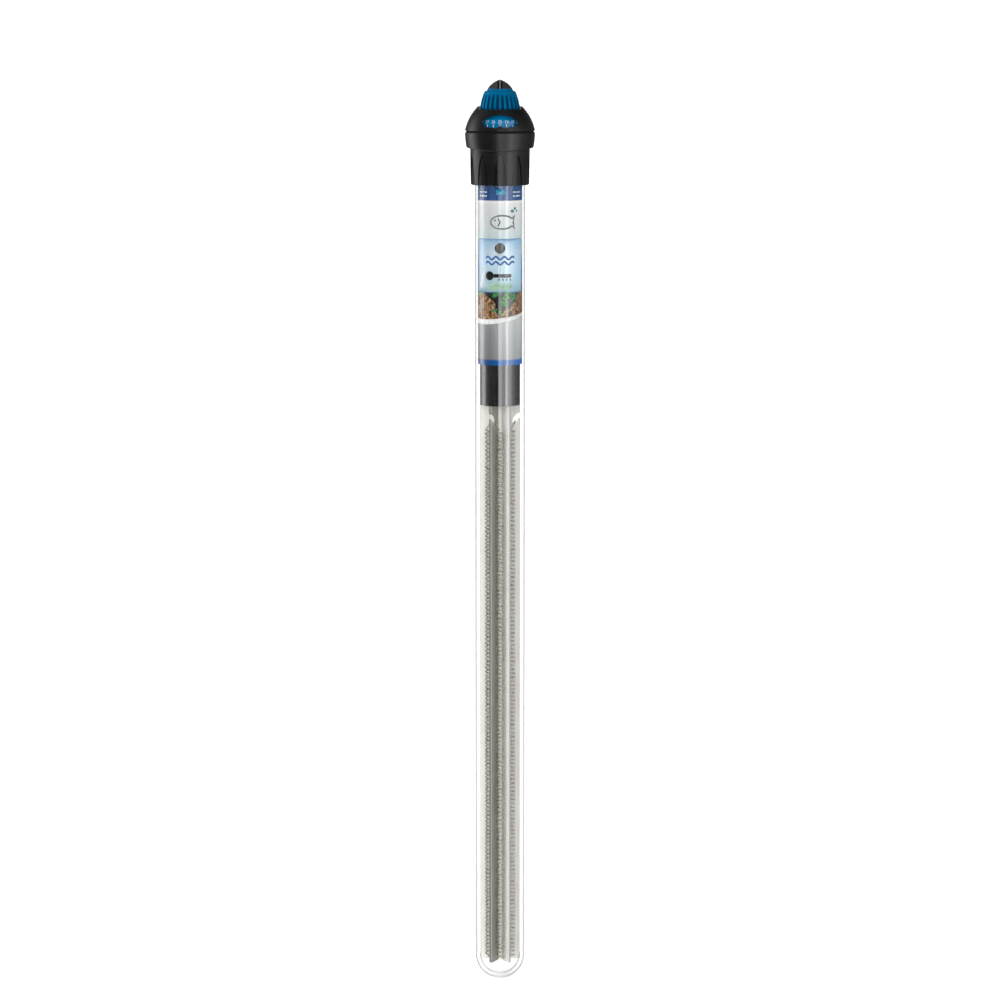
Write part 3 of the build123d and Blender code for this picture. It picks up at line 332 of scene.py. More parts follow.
def tip_plastic():
    """Satin black, with painted shade in the slot and a painted highlight on the ridge along it."""
    s = Shader("tip_black")
    aside = s.maths("ABSOLUTE", s.axis("X"))
    # Painted highlight: a light strip on the ridge down the slot's middle; painted shade: the slot near
    # black
    ridge_highlight = s.between(aside, 0.28 * MM, 0.36 * MM, 1.0, 0.0)
    slot = s.maths("MULTIPLY", s.between(aside, 1.25 * MM, 1.35 * MM, 1.0, 0.0),
                   s.maths("LESS_THAN", s.axis("Y"), -0.5 * MM))
    flank = s.mix(s.between(s.noise(160, detail=4), 0.35, 0.65), srgb(44, 44, 44), srgb(56, 56, 56))
    body = s.mix(slot, flank, srgb(9, 9, 9))
    s.colour(s.mix(ridge_highlight, body, srgb(112, 112, 110)))
    s.rough(0.34)
    s.bump(s.noise(5200, detail=2), 0.08, 0.02 * MM)
    return s.material


def metal(name, dark, light, roughness, brushed=(1, 1, 0.05)):
    """Drawn or brushed metal, its lines along the part."""
    s = Shader(name)
    lines = s.noise(6000, detail=3, vector=s.stretch(*brushed))
    s.colour(s.mix(s.between(s.noise(260, detail=3), 0.35, 0.65), dark, light))
    s.rough(s.between(lines, 0.3, 0.7, roughness - 0.06, roughness + 0.08))
    s.set(Metallic=1.0)
    s.bump(lines, 0.15, 0.01 * MM)
    return s.material


def rubbery(name, dark, light, roughness):
    """Dull material with a coarse grain."""
    s = Shader(name)
    s.colour(s.mix(s.between(s.noise(300, detail=4), 0.3, 0.7), dark, light))
    s.rough(roughness)
    s.bump(s.noise(3000, detail=3), 0.3, 0.02 * MM)
    return s.material


def label_print():
    """Printed card under the glass: bands and panels by height, mottled, and with painted shade across its
    front.
    """
    s = Shader("label_print")
    low, high = 331.7, 438.0

    def at(z):
        return (z - low) / (high - low)

    height = s.between(s.axis("Z"), low * MM, high * MM)
    zones = s.ramp(height, [
        (0.0, srgb(0, 98, 176)),
        (at(334.5), srgb(0, 98, 176)),
        (at(334.7), srgb(158, 160, 160)),
        (at(342), srgb(168, 173, 175)),
        (at(355.5), srgb(190, 193, 194)),
        (at(357.0), srgb(36, 32, 30)),
        (at(368.5), srgb(40, 38, 38)),
        (at(370.5), srgb(96, 148, 190)),
        (at(380), srgb(58, 116, 180)),
        (at(386), srgb(118, 168, 210)),
        (at(390), srgb(196, 216, 222)),
        (at(397), srgb(200, 219, 221)),
        (at(403), srgb(214, 224, 225)),
        (at(410), srgb(222, 226, 227)),
        (at(415.4), srgb(236, 237, 236)),
        (at(415.6), srgb(250, 250, 248)),
        (at(416.4), srgb(250, 250, 248)),
        (at(416.5), srgb(0, 76, 140)),
        (at(425), srgb(0, 80, 146)),
        (1.0, srgb(0, 60, 114)),
    ])
    mottle = s.noise(2600, detail=3)
    zones = s.mix(s.between(mottle, 0.3, 0.7, 0.0, 0.01), zones, (1, 1, 1, 1))
    # Painted shade: the print darker on the left of its front, half as strong above the card
    across = s.between(s.axis("X"), -10 * MM, 10 * MM)
    shade = s.ramp(across, [
        (0.04, grey(0.52)),
        (0.25, grey(0.47)),
        (0.36, grey(0.63)),
        (0.46, grey(0.81)),
        (0.6, grey(0.88)),
        (0.85, grey(0.95)),
        (0.97, grey(1.15)),
    ])
    shade = s.mix(s.between(s.axis("Z"), 396 * MM, 397 * MM, 1.0, 0.5), grey(1.0), shade)
    s.colour(s.mix(1.0, zones, shade, blend="MULTIPLY"))
    s.rough(s.between(s.noise(900, detail=2), 0.3, 0.7, 0.08, 0.12))
    s.set(IOR=PRINT_IOR)
    s.bump(mottle, 0.05, 0.01 * MM)
    return s.material


def ink(name, colour, other, scale=1500, ior=PRINT_IOR, roughness=0.1):
    """Printing ink, speckled with a second tone."""
    s = Shader(name)
    s.colour(s.mix(s.between(s.noise(scale, detail=4, roughness=0.6), 0.35, 0.65), other, colour))
    s.rough(roughness)
    s.set(IOR=ior)
    s.bump(s.noise(2500, detail=2), 0.05, 0.01 * MM)
    return s.material


def rock_ink():
    """Printed rock: brown facets with dark cracks."""
    s = Shader("rock_ink")
    vector = s.stretch(1.0, 1.0, 0.6)
    facets = s.cells(900, output="Color", vector=vector)
    tone = s.between(s.noise(700, detail=6, roughness=0.75), 0.32, 0.68)
    brown = s.ramp(tone, [
        (0.0, srgb(26, 18, 12)),
        (0.28, srgb(88, 54, 26)),
        (0.5, srgb(154, 108, 60)),
        (0.72, srgb(182, 146, 104)),
        (1.0, srgb(222, 208, 188)),
    ])
    cracks = s.between(s.cells(620, feature="DISTANCE_TO_EDGE", vector=vector), 0.0, 0.16, 0.35, 1.0)
    brown = s.mix(1.0, brown, cracks, blend="MULTIPLY")
    s.colour(s.mix(0.1, brown, facets, blend="OVERLAY"))
    s.rough(0.12)
    s.set(IOR=PRINT_IOR)
    return s.material


def card_ink():
    """Pale blue card with a lighter middle, and painted shade that darkens it towards the left."""
    s = Shader("card_ink")
    height = s.between(s.axis("Z"), 369.6 * MM, 397.1 * MM)
    tones = s.ramp(height, [
        (0.0, srgb(150, 190, 196)),
        (0.18, srgb(176, 206, 214)),
        (0.5, srgb(196, 220, 232)),
        (0.75, srgb(196, 214, 224)),
        (0.96, srgb(150, 186, 214)),
        (1.0, srgb(122, 164, 200)),
    ])
    side = s.between(s.maths("ABSOLUTE", s.axis("X")), 4 * MM, 11 * MM, 0.0, 0.5)
    tones = s.mix(side, tones, srgb(134, 184, 222))
    # Painted shade: the card darker towards the left
    shade = s.between(s.axis("X"), -9 * MM, 6 * MM, 0.82, 1.16)
    s.colour(s.mix(1.0, tones, shade, blend="MULTIPLY"))
    s.rough(0.1)
    s.set(IOR=PRINT_IOR)
    s.bump(s.noise(2600, detail=2), 0.05, 0.01 * MM)
    return s.material


def ceramic():
    """Unglazed ceramic with painted shade: olive on walls that face right, grey on walls that face left, and
    grey on the fins' rims and ends.
    """
    s = Shader("ceramic")
    body = s.mix(s.between(s.noise(90, detail=5), 0.3, 0.7), srgb(234, 232, 224), srgb(243, 242, 237))
    specks = s.between(s.cells(1400), 0.05, 0.16)
    body = s.mix(specks, srgb(196, 190, 176), body)
    facing = s.node("ShaderNodeSeparateXYZ")
    s.link(s.node("ShaderNodeTexCoord").outputs["Normal"], facing.inputs[0])
    # Painted shade inside the fins' tips: walls that face right go olive, walls that face left a little grey
    inside = s.between(s.radius(), 9.9 * MM, 10.2 * MM, 1.0, 0.0)
    right_wall_shade = s.maths("MULTIPLY", s.between(facing.outputs["X"], 0.35, 0.8, 0.0, 0.7), inside)
    body = s.mix(right_wall_shade, body, srgb(104, 99, 84))
    shade = s.maths("MULTIPLY", s.between(facing.outputs["X"], -0.8, -0.35, 0.4, 0.0), inside)
    body = s.mix(shade, body, srgb(176, 172, 164))
    # Painted shade: greyer towards the fins' rims, and grey on their ends, darker on the left
    rim = s.between(s.radius(), 9.0 * MM, 10.44 * MM, 0.0, 0.3)
    body = s.mix(rim, body, srgb(176, 170, 156))
    ends = s.mix(s.between(s.axis("X"), -5 * MM, 5 * MM), srgb(112, 114, 124), srgb(160, 160, 162))
    s.colour(s.mix(s.between(s.radius(), 10.40 * MM, 10.46 * MM), body, ends))
    s.rough(0.55)
    s.bump(s.noise(1800, detail=5), 0.25, 0.03 * MM)
    return s.material


def resistance_wire():
    """Drawn wire with a patchy oxide."""
    s = Shader("resistance_wire")
    oxide = s.noise(500, detail=4)
    s.colour(s.mix(s.between(oxide, 0.35, 0.65), srgb(168, 163, 151), srgb(218, 214, 204)))
    s.rough(s.between(oxide, 0.3, 0.7, 0.24, 0.34))
    s.set(Metallic=0.85)
    s.bump(s.noise(9000, detail=2), 0.1, 0.01 * MM)
    return s.material


def gloss_sleeve():
    """Polished dark sleeve."""
    s = Shader("gloss_black")
    streaks = s.noise(900, detail=3, vector=s.stretch(1, 1, 0.04))
    s.colour(s.mix(s.between(streaks, 0.3, 0.7), srgb(22, 22, 23), srgb(40, 41, 42)))
    s.rough(s.between(streaks, 0.3, 0.7, 0.07, 0.12))
    s.set(IOR=2.6)
    s.bump(streaks, 0.04, 0.01 * MM)
    return s.material


def clear_glass(name, tint, rim, rim_start, inner_r=0.0, end_z=0.0):
    """Clear glass wall: see-through, greyer at a glancing view, with a mirror-like reflection.

    Inside inner_r and above end_z, on the bore of a tube, it is as clear at a glancing view as straight on.
    """
    s = Shader(name)
    s.tree.nodes.remove(s.bsdf)
    glance = s.node("ShaderNodeLayerWeight")
    glance.inputs["Blend"].default_value = 0.5
    glance = glance.outputs["Facing"]
    if inner_r:
        outer = s.between(s.radius(), inner_r + 0.3 * MM, inner_r + 0.6 * MM)
        end = s.between(s.axis("Z"), end_z - 1 * MM, end_z + 1 * MM, 1.0, 0.0)
        glance = s.maths("MULTIPLY", glance, s.maths("MAXIMUM", outer, end))
    clear = s.node("ShaderNodeBsdfTransparent")
    s.link(s.ramp(glance, [(0.0, tint), (rim_start, tint), (1.0, rim)]), clear.inputs["Color"])
    gloss = s.node("ShaderNodeBsdfGlossy")
    gloss.inputs["Roughness"].default_value = 0.02
    gloss.inputs["Color"].default_value = grey(1.0)
    ripple = s.node("ShaderNodeBump")
    ripple.inputs["Strength"].default_value = 0.02
    ripple.inputs["Distance"].default_value = 0.05 * MM
    s.link(s.noise(60, detail=1, vector=s.stretch(1, 1, 0.2)), ripple.inputs["Height"])
    s.link(ripple.outputs["Normal"], gloss.inputs["Normal"])
    both = s.node("ShaderNodeMixShader")
    s.link(s.maths("MULTIPLY_ADD", s.maths("POWER", glance, 5.0), 0.96, 0.04), both.inputs["Fac"])
    s.link(clear.outputs["BSDF"], both.inputs[1])
    s.link(gloss.outputs["BSDF"], both.inputs[2])
    s.link(both.outputs["Shader"], s.output.inputs["Surface"])
    return s.material


materials = {
    "clear_glass": clear_glass("clear_glass", grey(0.995), grey(0.76), 0.6, GLASS_INNER_R, GLASS_END_TOP_Z),
    "label_print": label_print(),
    "gloss_black": gloss_sleeve(),
    "ceramic": ceramic(),
    "resistance_wire": resistance_wire(),
    "mica": rubbery("mica", srgb(150, 140, 118), srgb(196, 188, 168), 0.35),
    "black_plastic": head_plastic(),
    "tip_black": tip_plastic(),
    "dial_blue": knob_plastic(),
    "steel": metal("steel", srgb(140, 142, 145), srgb(200, 202, 205), 0.28),
    "brass": metal("brass", srgb(176, 138, 66), srgb(214, 178, 98), 0.28),
    "bimetal": metal("bimetal", srgb(150, 120, 96), srgb(188, 160, 134), 0.3),
    "silver_contact": metal("silver_contact", srgb(196, 196, 192), srgb(228, 228, 224), 0.25),
    "magnet": metal("magnet", srgb(60, 60, 62), srgb(84, 84, 88), 0.45),
    "nylon": plastic("nylon", srgb(222, 218, 206), srgb(236, 233, 224), 0.45),
    "rubber": rubbery("rubber", srgb(18, 18, 18), srgb(30, 30, 30), 0.7),
    "silicone": rubbery("silicone", srgb(170, 60, 44), srgb(190, 76, 56), 0.5),
    "wire_brown": plastic("wire_brown", srgb(84, 48, 28), srgb(104, 62, 38), 0.4),
    "wire_blue": plastic("wire_blue", srgb(24, 70, 150), srgb(40, 92, 176), 0.4),
    "lamp_glass": clear_glass("lamp_glass", grey(0.97), grey(0.8), 0.5),
    "resistor_tan": plastic("resistor_tan", srgb(186, 154, 108), srgb(206, 176, 130), 0.45),
    "fuse_white": plastic("fuse_white", srgb(216, 214, 208), srgb(232, 230, 226), 0.4),
    "capacitor_yellow": plastic("capacitor_yellow", srgb(206, 158, 40), srgb(226, 182, 62), 0.35),
}

# The drum is polished, the ring in the seam's recess is dull and near black, black plastic with painted
# shade, and the lamp's inside is bright
own_materials = {
    "lamp_electrodes": plastic("electrode_pale", srgb(226, 224, 220), srgb(242, 240, 236), 0.3),
    "lamp_reflector": plastic("reflector_pale", srgb(206, 205, 202), srgb(218, 217, 214), 0.3),
    "scale_drum": plastic("drum_blue", srgb(0, 112, 164), srgb(0, 120, 172), 0.08, grain=0.02),
    "head_core": rubbery("seam_black_painted_shade", srgb(3, 3, 3), srgb(6, 6, 6), 0.9),
}

for name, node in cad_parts.items():
    slot_name = node.material_slots[0].material.name.split(".")[0]
    node.material_slots[0].material = own_materials.get(name) or materials[slot_name]

# ---------------------------------------------------------------- mesh helpers


def piece(name, mesh_data, material, body, replaced=()):
    """Makes a piece from a bmesh and lets it ride."""
    mesh = bpy.data.meshes.new(name)
    bmesh.ops.recalc_face_normals(mesh_data, faces=mesh_data.faces)
    mesh_data.to_mesh(mesh)
    mesh_data.free()
    mesh.shade_smooth()
    made = bpy.data.objects.new(name, mesh)
    bpy.context.scene.collection.objects.link(made)
    mesh.materials.append(material)
    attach(made, body)
    if replaced:
        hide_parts(*replaced)
    return made


def around(angle, rho, z):
    """The point at this angle from the front, counted towards +X."""
    return Vector((rho * sin(angle), -rho * cos(angle), z))


def lathe(mesh_data, profile, segments):
    """Turns a closed half outline of (radius, height) points about the Z axis."""
    rings = []
    for rho, z in profile:
        if rho < 1e-9:
            rings.append([mesh_data.verts.new((0, 0, z))])
        else:
            ring = [around(tau * k / segments, rho, z) for k in range(segments)]
            rings.append([mesh_data.verts.new(point) for point in ring])
    for lower, upper in zip(rings, rings[1:] + rings[:1]):
        if len(lower) == 1 and len(upper) == 1:
            continue
        for k in range(segments):
            after = (k + 1) % segments
            corners = [lower[k % len(lower)], lower[after % len(lower)]]
            corners += [upper[after % len(upper)], upper[k % len(upper)]]
            mesh_data.faces.new(list(dict.fromkeys(corners)))


def tube_along(mesh_data, points, radius, sides=8):
    """Sweeps a round section along the points."""
    frames = []
    tangent = (points[1] - points[0]).normalized()
    normal = tangent.orthogonal().normalized()
    for index, point in enumerate(points):
        before = points[max(index - 1, 0)]
        after = points[min(index + 1, len(points) - 1)]
        new_tangent = (after - before).normalized()
        normal = (tangent.rotation_difference(new_tangent) @ normal).normalized()
        tangent = new_tangent
        frames.append((point, normal, tangent.cross(normal)))
    rings = []
    for point, across, up in frames:
        ring = []
        for k in range(sides):
            angle = tau * k / sides
            ring.append(mesh_data.verts.new(point + radius * (cos(angle) * across + sin(angle) * up)))
        rings.append(ring)
    for lower, upper in zip(rings, rings[1:]):
        for k in range(sides):
            after = (k + 1) % sides
            mesh_data.faces.new((lower[k], lower[after], upper[after], upper[k]))
    for ring in (rings[0], rings[-1]):
        mesh_data.faces.new(ring)


def smooth_path(points, steps=8):
    """A Catmull-Rom line through the points."""
    padded = [2 * points[0] - points[1], *points, 2 * points[-1] - points[-2]]
    line = []
    for a, b, c, d in zip(padded, padded[1:], padded[2:], padded[3:]):
        for step in range(steps):
            t = step / steps
            line.append(0.5 * (2 * b + (c - a) * t + (2 * a - 5 * b + 4 * c - d) * t * t
                               + (3 * b - a - 3 * c + d) * t ** 3))
    line.append(points[-1])
    return line


def wrapped(mesh_data, outlines, radius_at, lift, thickness=PRINT_THICKNESS):
    """Lays flat outlines, (along, up) in metres, on a round surface as thin raised print.

    radius_at gives the surface's radius at a height, and along is measured at that radius.
    """
    flat = bmesh.new()
    for outline in outlines:
        corners = [flat.verts.new((along, up, 0)) for along, up in outline]
        flat.faces.new(corners)
    bmesh.ops.triangulate(flat, faces=flat.faces[:])
    lay_flat(mesh_data, flat, radius_at, lift, thickness, 0.6 * MM)


def lay_flat(mesh_data, flat, radius_at, lift, thickness, step, cuts_z=()):
    """Cuts a flat mesh into narrow strips, thickens it and wraps it round the axis."""
    low = min(vertex.co.x for vertex in flat.verts)
    high = max(vertex.co.x for vertex in flat.verts)
    for number in range(ceil(low / step), floor(high / step) + 1):
        whole = flat.verts[:] + flat.edges[:] + flat.faces[:]
        bmesh.ops.bisect_plane(flat, geom=whole, plane_co=(number * step, 0, 0), plane_no=(1, 0, 0))
    for z in cuts_z:
        whole = flat.verts[:] + flat.edges[:] + flat.faces[:]
        bmesh.ops.bisect_plane(flat, geom=whole, plane_co=(0, z, 0), plane_no=(0, 1, 0))
    raised = bmesh.ops.extrude_face_region(flat, geom=flat.faces[:])
    for item in raised["geom"]:
        if isinstance(item, bmesh.types.BMVert):
            item.co.z = 1.0
    for vertex in flat.verts:
        along, up, top = vertex.co
        surface = radius_at(up)
        vertex.co = around(along / surface, surface + lift + (thickness if top else 0), up)
    temporary = bpy.data.meshes.new("temporary")
    flat.to_mesh(temporary)
    flat.free()
    mesh_data.from_mesh(temporary)
    bpy.data.meshes.remove(temporary)


def on_label(up):
    return LABEL_R


def ribbon(points, width):
    """Outline of a stroke of this width along the points."""
    left, right = [], []
    for index, (x, y) in enumerate(points):
        x0, y0 = points[max(index - 1, 0)]
        x1, y1 = points[min(index + 1, len(points) - 1)]
        length = hypot(x1 - x0, y1 - y0)
        nx, ny = -(y1 - y0) / length, (x1 - x0) / length
        left.append((x + nx * width / 2, y + ny * width / 2))
        right.append((x - nx * width / 2, y - ny * width / 2))
    return left + right[::-1]


def ribbons(points, width, closed=False):
    """The stroke as short four-sided outlines."""
    line = points + points[:1] if closed else points
    outline = ribbon(line, width)
    half = len(outline) // 2
    left, right = outline[:half], outline[half:][::-1]
    if closed:
        left[0] = left[-1] = tuple((a + b) / 2 for a, b in zip(left[0], left[-1]))
        right[0] = right[-1] = tuple((a + b) / 2 for a, b in zip(right[0], right[-1]))
    return [[left[k], left[k + 1], right[k + 1], right[k]] for k in range(half - 1)]


def disc(x, y, radius, points=20):
    return [(x + radius * cos(tau * k / points), y + radius * sin(tau * k / points)) for k in range(points)]


def rounded_box(x0, x1, y0, y1, radius, points=6):
    outline = []
    for cx, cy, start in ((x1 - radius, y1 - radius, 0), (x0 + radius, y1 - radius, 90),
                          (x0 + radius, y0 + radius, 180), (x1 - radius, y0 + radius, 270)):
        for k in range(points + 1):
            angle = radians(start + 90 * k / points)
            outline.append((cx + radius * cos(angle), cy + radius * sin(angle)))
    return outline


def mm(outlines):
    """Outlines drawn in millimetres, in metres."""
    return [[(x * MM, y * MM) for x, y in outline] for outline in outlines]


# ---------------------------------------------------------------- glass tube


def round_end(radius, start_z):
    """Quarter outline of the tube's closed end, from the axis outwards."""
    quarter = [pi / 2 * k / 28 for k in range(29)]
    return [(radius * sin(angle), start_z + radius * (1 - cos(angle))) for angle in quarter]


def glass_profile():
    neck_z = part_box("label_sleeve")[1].z - GLASS_NECK_DROP
    steps = [80 * MM, 200 * MM, 320 * MM]
    outside = round_end(GLASS_R, 0.0) + [(GLASS_R, z) for z in steps + [neck_z]]
    lip = [
        (GLASS_NECK_R, neck_z + 0.3 * MM),
        (GLASS_NECK_R, GLASS_NECK_TOP_Z),
        (GLASS_LIP_R, GLASS_LIP_LOW_Z),
        (GLASS_LIP_R, GLASS_MOUTH_Z - GLASS_LIP_ROUND),
        (GLASS_LIP_R - GLASS_LIP_ROUND, GLASS_MOUTH_Z),
        (GLASS_INNER_R, GLASS_MOUTH_Z),
    ]
    bore = [(GLASS_INNER_R, z) for z in [*reversed(steps), 26 * MM]]
    return outside + lip + bore + round_end(GLASS_END_INNER_R, GLASS_END_THICK)[::-1]


tube_mesh = bmesh.new()
lathe(tube_mesh, glass_profile(), GLASS_SEGMENTS)
piece("clear_tube", tube_mesh, materials["clear_glass"], "heater", ["glass_tube"])

# ---------------------------------------------------------------- heating coils and their links


def coil_line(angle, low, high):
    """A coil's wire from its lower to its upper end, wound to the left."""
    centre = around(angle, COIL_RHO, 0)
    winding_r = COIL_R - WIRE_R
    turns = (high - low) / COIL_PITCH
    line = []
    for step in range(int(turns * COIL_STEPS) + 1):
        turn = step / COIL_STEPS
        wobble = 0.10 * COIL_PITCH * sin(0.37 * turn + 3 * angle)
        breath = 1 - 0.03 * (1 + sin(0.23 * turn + angle))
        x = winding_r * breath * cos(-tau * turn)
        y = winding_r * breath * sin(-tau * turn)
        line.append(centre + Vector((x, y, low + WIRE_R + COIL_PITCH * turn + wobble)))
    return line


coil_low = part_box("heating_coil_1")[0].z
coil_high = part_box("heating_coil_1")[1].z
coil_ends = {}
for number in range(6):
    angle = number * tau / 6
    line = coil_line(angle, coil_low, coil_high - 2 * WIRE_R)
    coil_ends[number] = (line[0], line[-1])
    coil_mesh = bmesh.new()
    tube_along(coil_mesh, line, WIRE_R, sides=6)
    piece(f"coil_wire_{number + 1}", coil_mesh, materials["resistance_wire"], "heater",
          [f"heating_coil_{number + 1}"])


def link(mesh_data, fin, end, beside_coil, at_fin):
    """Joins two coils' ends past the fin between them, through (radius, height) points on both its sides."""
    first = round((fin - 30) / 60) % 6
    second = round((fin + 30) / 60) % 6
    path = [
        coil_ends[first][end],
        around(radians(fin - 20), *beside_coil),
        around(radians(fin - 7), *at_fin),
        around(radians(fin + 7), *at_fin),
        around(radians(fin + 20), *beside_coil),
        coil_ends[second][end],
    ]
    tube_along(mesh_data, smooth_path(path), LINK_WIRE_R)


top_mesh = bmesh.new()
over_notch = (COIL_RHO + 0.8 * MM, NOTCH_Z + 0.7 * MM)
for fin in (-30, 90, 210):
    link(top_mesh, fin, 1, (COIL_RHO + 0.4 * MM, NOTCH_Z - 0.6 * MM), over_notch)
piece("top_link_wires", top_mesh, materials["resistance_wire"], "heater", ["top_links"])

bottom_mesh = bmesh.new()
link_hole = (LINK_HOLE_RHO, LINK_HOLE_Z)
for fin in (30, 150):
    link(bottom_mesh, fin, 0, (COIL_RHO - 1.4 * MM, LINK_HOLE_Z - 0.3 * MM), link_hole)
piece("bottom_link_wires", bottom_mesh, materials["resistance_wire"], "heater",
      ["bottom_links"])

# ---------------------------------------------------------------- spring over the setting nut

spring_low, spring_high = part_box("nut_spring")
spring_r = spring_high.x - 0.4 * MM
spring_start = spring_low.z + SPRING_GAP_LOW
spring_height = spring_high.z - SPRING_GAP_HIGH - spring_start
spring_line = []
for step in range(int(SPRING_TURNS * SPRING_STEPS) + 1):
    turn = step / SPRING_STEPS
    share = turn / SPRING_TURNS
    rise = share * share * (3 - 2 * share)
    spring_line.append(around(tau * turn, spring_r, spring_start + spring_height * rise))
spring_mesh = bmesh.new()
tube_along(spring_mesh, spring_line, SPRING_WIRE_R)
piece("spring_wire", spring_mesh, materials["steel"], "heater", ["nut_spring"])

# ---------------------------------------------------------------- what is printed on the label

inks = {
    "white": ink("ink_white", srgb(226, 232, 236), srgb(206, 216, 222)),
    "cyan": ink("ink_cyan", srgb(40, 168, 200), srgb(30, 140, 176)),
    "teal": ink("ink_teal", srgb(0, 132, 146), srgb(0, 110, 128)),
    "grey": ink("ink_grey", srgb(122, 124, 124), srgb(110, 112, 113)),
    "blue": ink("ink_blue", srgb(0, 92, 172), srgb(0, 78, 156)),
    "black": ink("ink_black", srgb(10, 10, 10), srgb(18, 18, 20)),
    "pale": ink("ink_pale", srgb(206, 210, 218), srgb(196, 196, 206)),
    "swoosh": ink("ink_swoosh", srgb(236, 236, 234), srgb(226, 228, 228)),
    "rim": ink("ink_rim", srgb(94, 144, 190), srgb(84, 132, 180)),
    "leaf_pale": ink("ink_leaf_pale", srgb(170, 206, 176), srgb(146, 190, 160), scale=900),
    "leaf_mid": ink("ink_leaf_mid", srgb(96, 176, 88), srgb(60, 140, 66), scale=900),
    "leaf_deep": ink("ink_leaf_deep", srgb(22, 136, 56), srgb(10, 104, 44), scale=900),
    "card": card_ink(),
    "rock": rock_ink(),
}


def printed(name, outlines, colour, layer):
    """One piece printed on the label, from outlines in millimetres. Each layer lies on the one below it."""
    mesh_data = bmesh.new()
    wrapped(mesh_data, mm(outlines), on_label, PRINT_LIFT * (1 + layer))
    piece(name, mesh_data, inks[colour], "heater")


def around_label(degrees):
    """Distance along the label's surface, in millimetres, at this angle from the front."""
    return radians(degrees) * LABEL_R / MM


def swoosh_top(degrees):
    """Height of the white line's upper edge, which rises and falls once round the tube."""
    return 357.45 + 1.55 * sin(radians(degrees)) - 1.25 * cos(radians(degrees))


def swoosh_low(degrees):
    return swoosh_top(degrees) - 2.5 + 0.3 * sin(radians(degrees))


# White line between the picture and the grey field, right round the tube
SWOOSH_STEP = 5
swoosh = []
for start in range(-180, 180, SWOOSH_STEP):
    end = start + SWOOSH_STEP
    swoosh.append([
        (around_label(start), swoosh_top(start)), (around_label(start), swoosh_low(start)),
        (around_label(end), swoosh_low(end)), (around_label(end), swoosh_top(end)),
    ])
printed("print_swoosh", swoosh, "swoosh", layer=2)

# Rocks, as ragged hills that stand on the white line
picture = Random(7)


def hill(start, end, peaks):
    """Outline of a rock from one angle to another, with (angle, height) peaks."""
    top = []
    for (a0, z0), (a1, z1) in zip(peaks, peaks[1:]):
        for step in range(6):
            share = step / 6
            top.append((a0 + (a1 - a0) * share, z0 + (z1 - z0) * share + picture.uniform(-0.35, 0.35)))
    top.append(peaks[-1])
    base = [end - (end - start) * k / 12 for k in range(13)]
    outline = [(around_label(a), z) for a, z in top]
    outline += [(around_label(a), swoosh_top(a) - 0.4) for a in base]
    return outline


rocks = [
    hill(-96, -2, [(-96, 365.0), (-80, 368.6), (-62, 369.2), (-40, 368.0), (-22, 366.2), (-12, 363.6),
                   (-14, 360.2), (-2, 357.6)]),
    hill(0, 64, [(0, 357.2), (8, 359.6), (18, 361.8), (30, 359.6), (50, 358.6), (64, 359.0)]),
    hill(22, 118, [(22, 358.0), (30, 362.4), (42, 364.8), (60, 370.6), (78, 374.6), (98, 370.2),
                   (118, 360.6)]),
    hill(130, 206, [(130, 360.4), (146, 366.2), (164, 369.6), (182, 366.2), (206, 359.6)]),
]
printed("print_rocks", rocks, "rock", layer=1)

# Plants, as clusters of small leaves
leaves = {"leaf_deep": [], "leaf_mid": [], "leaf_pale": []}


def leaf(angle, z, length, width, lean):
    """A pointed leaf whose base stands at the given place."""
    outline = []
    for k in range(12):
        share = k / 6 if k <= 6 else 2 - k / 6
        side = 1 if k <= 6 else -1
        along = length * share
        across = side * width / 2 * sin(pi * share) ** 0.8
        outline.append((
            around_label(angle) + along * sin(lean) + across * cos(lean),
            z + along * cos(lean) - across * sin(lean),
        ))
    return outline


def cluster(colour, centre, height, spread, tall, count, size):
    """Scatters leaves of one ink round an angle and a height."""
    for _ in range(count):
        angle = centre + picture.uniform(-spread, spread)
        z = height + picture.uniform(-tall, tall)
        length = size * picture.uniform(0.7, 1.3)
        width = length * picture.uniform(0.45, 0.7)
        leaves[colour].append(leaf(angle, z, length, width, picture.uniform(-1.1, 1.1)))


cluster("leaf_deep", -8, 367.4, 9, 1.4, 12, 1.7)
cluster("leaf_deep", 36, 366.4, 11, 1.6, 16, 1.8)
cluster("leaf_deep", -12, 359.4, 5, 1.0, 6, 1.3)
cluster("leaf_deep", 128, 364.0, 22, 4.0, 44, 1.9)
cluster("leaf_deep", 226, 364.0, 20, 4.0, 40, 1.9)
cluster("leaf_mid", 22, 367.0, 12, 1.8, 18, 1.6)
cluster("leaf_mid", 12, 363.0, 9, 1.6, 14, 1.6)
cluster("leaf_mid", 2, 358.6, 5, 1.0, 7, 1.4)
cluster("leaf_mid", -60, 368.0, 10, 0.8, 8, 1.4)
cluster("leaf_mid", 132, 367.0, 20, 3.4, 26, 1.7)
cluster("leaf_mid", 222, 367.0, 20, 3.4, 26, 1.7)
cluster("leaf_pale", -18, 371.6, 12, 1.6, 26, 2.2)
cluster("leaf_pale", 12, 371.6, 14, 1.2, 26, 2.0)
for colour, outlines in leaves.items():
    printed("print_" + colour, outlines, colour, layer=5 if colour == "leaf_pale" else 2)

# Pale card over the picture, cut away round the lamp hole
CARD_Z = (369.6, 397.1)
CARD_HALF_ANGLE = 71
LAMP_Z = 392.3
HOLE_R = 2.72
CARD_CORNER = 1.6
CARD_RIM = 0.22
card_half = around_label(CARD_HALF_ANGLE)


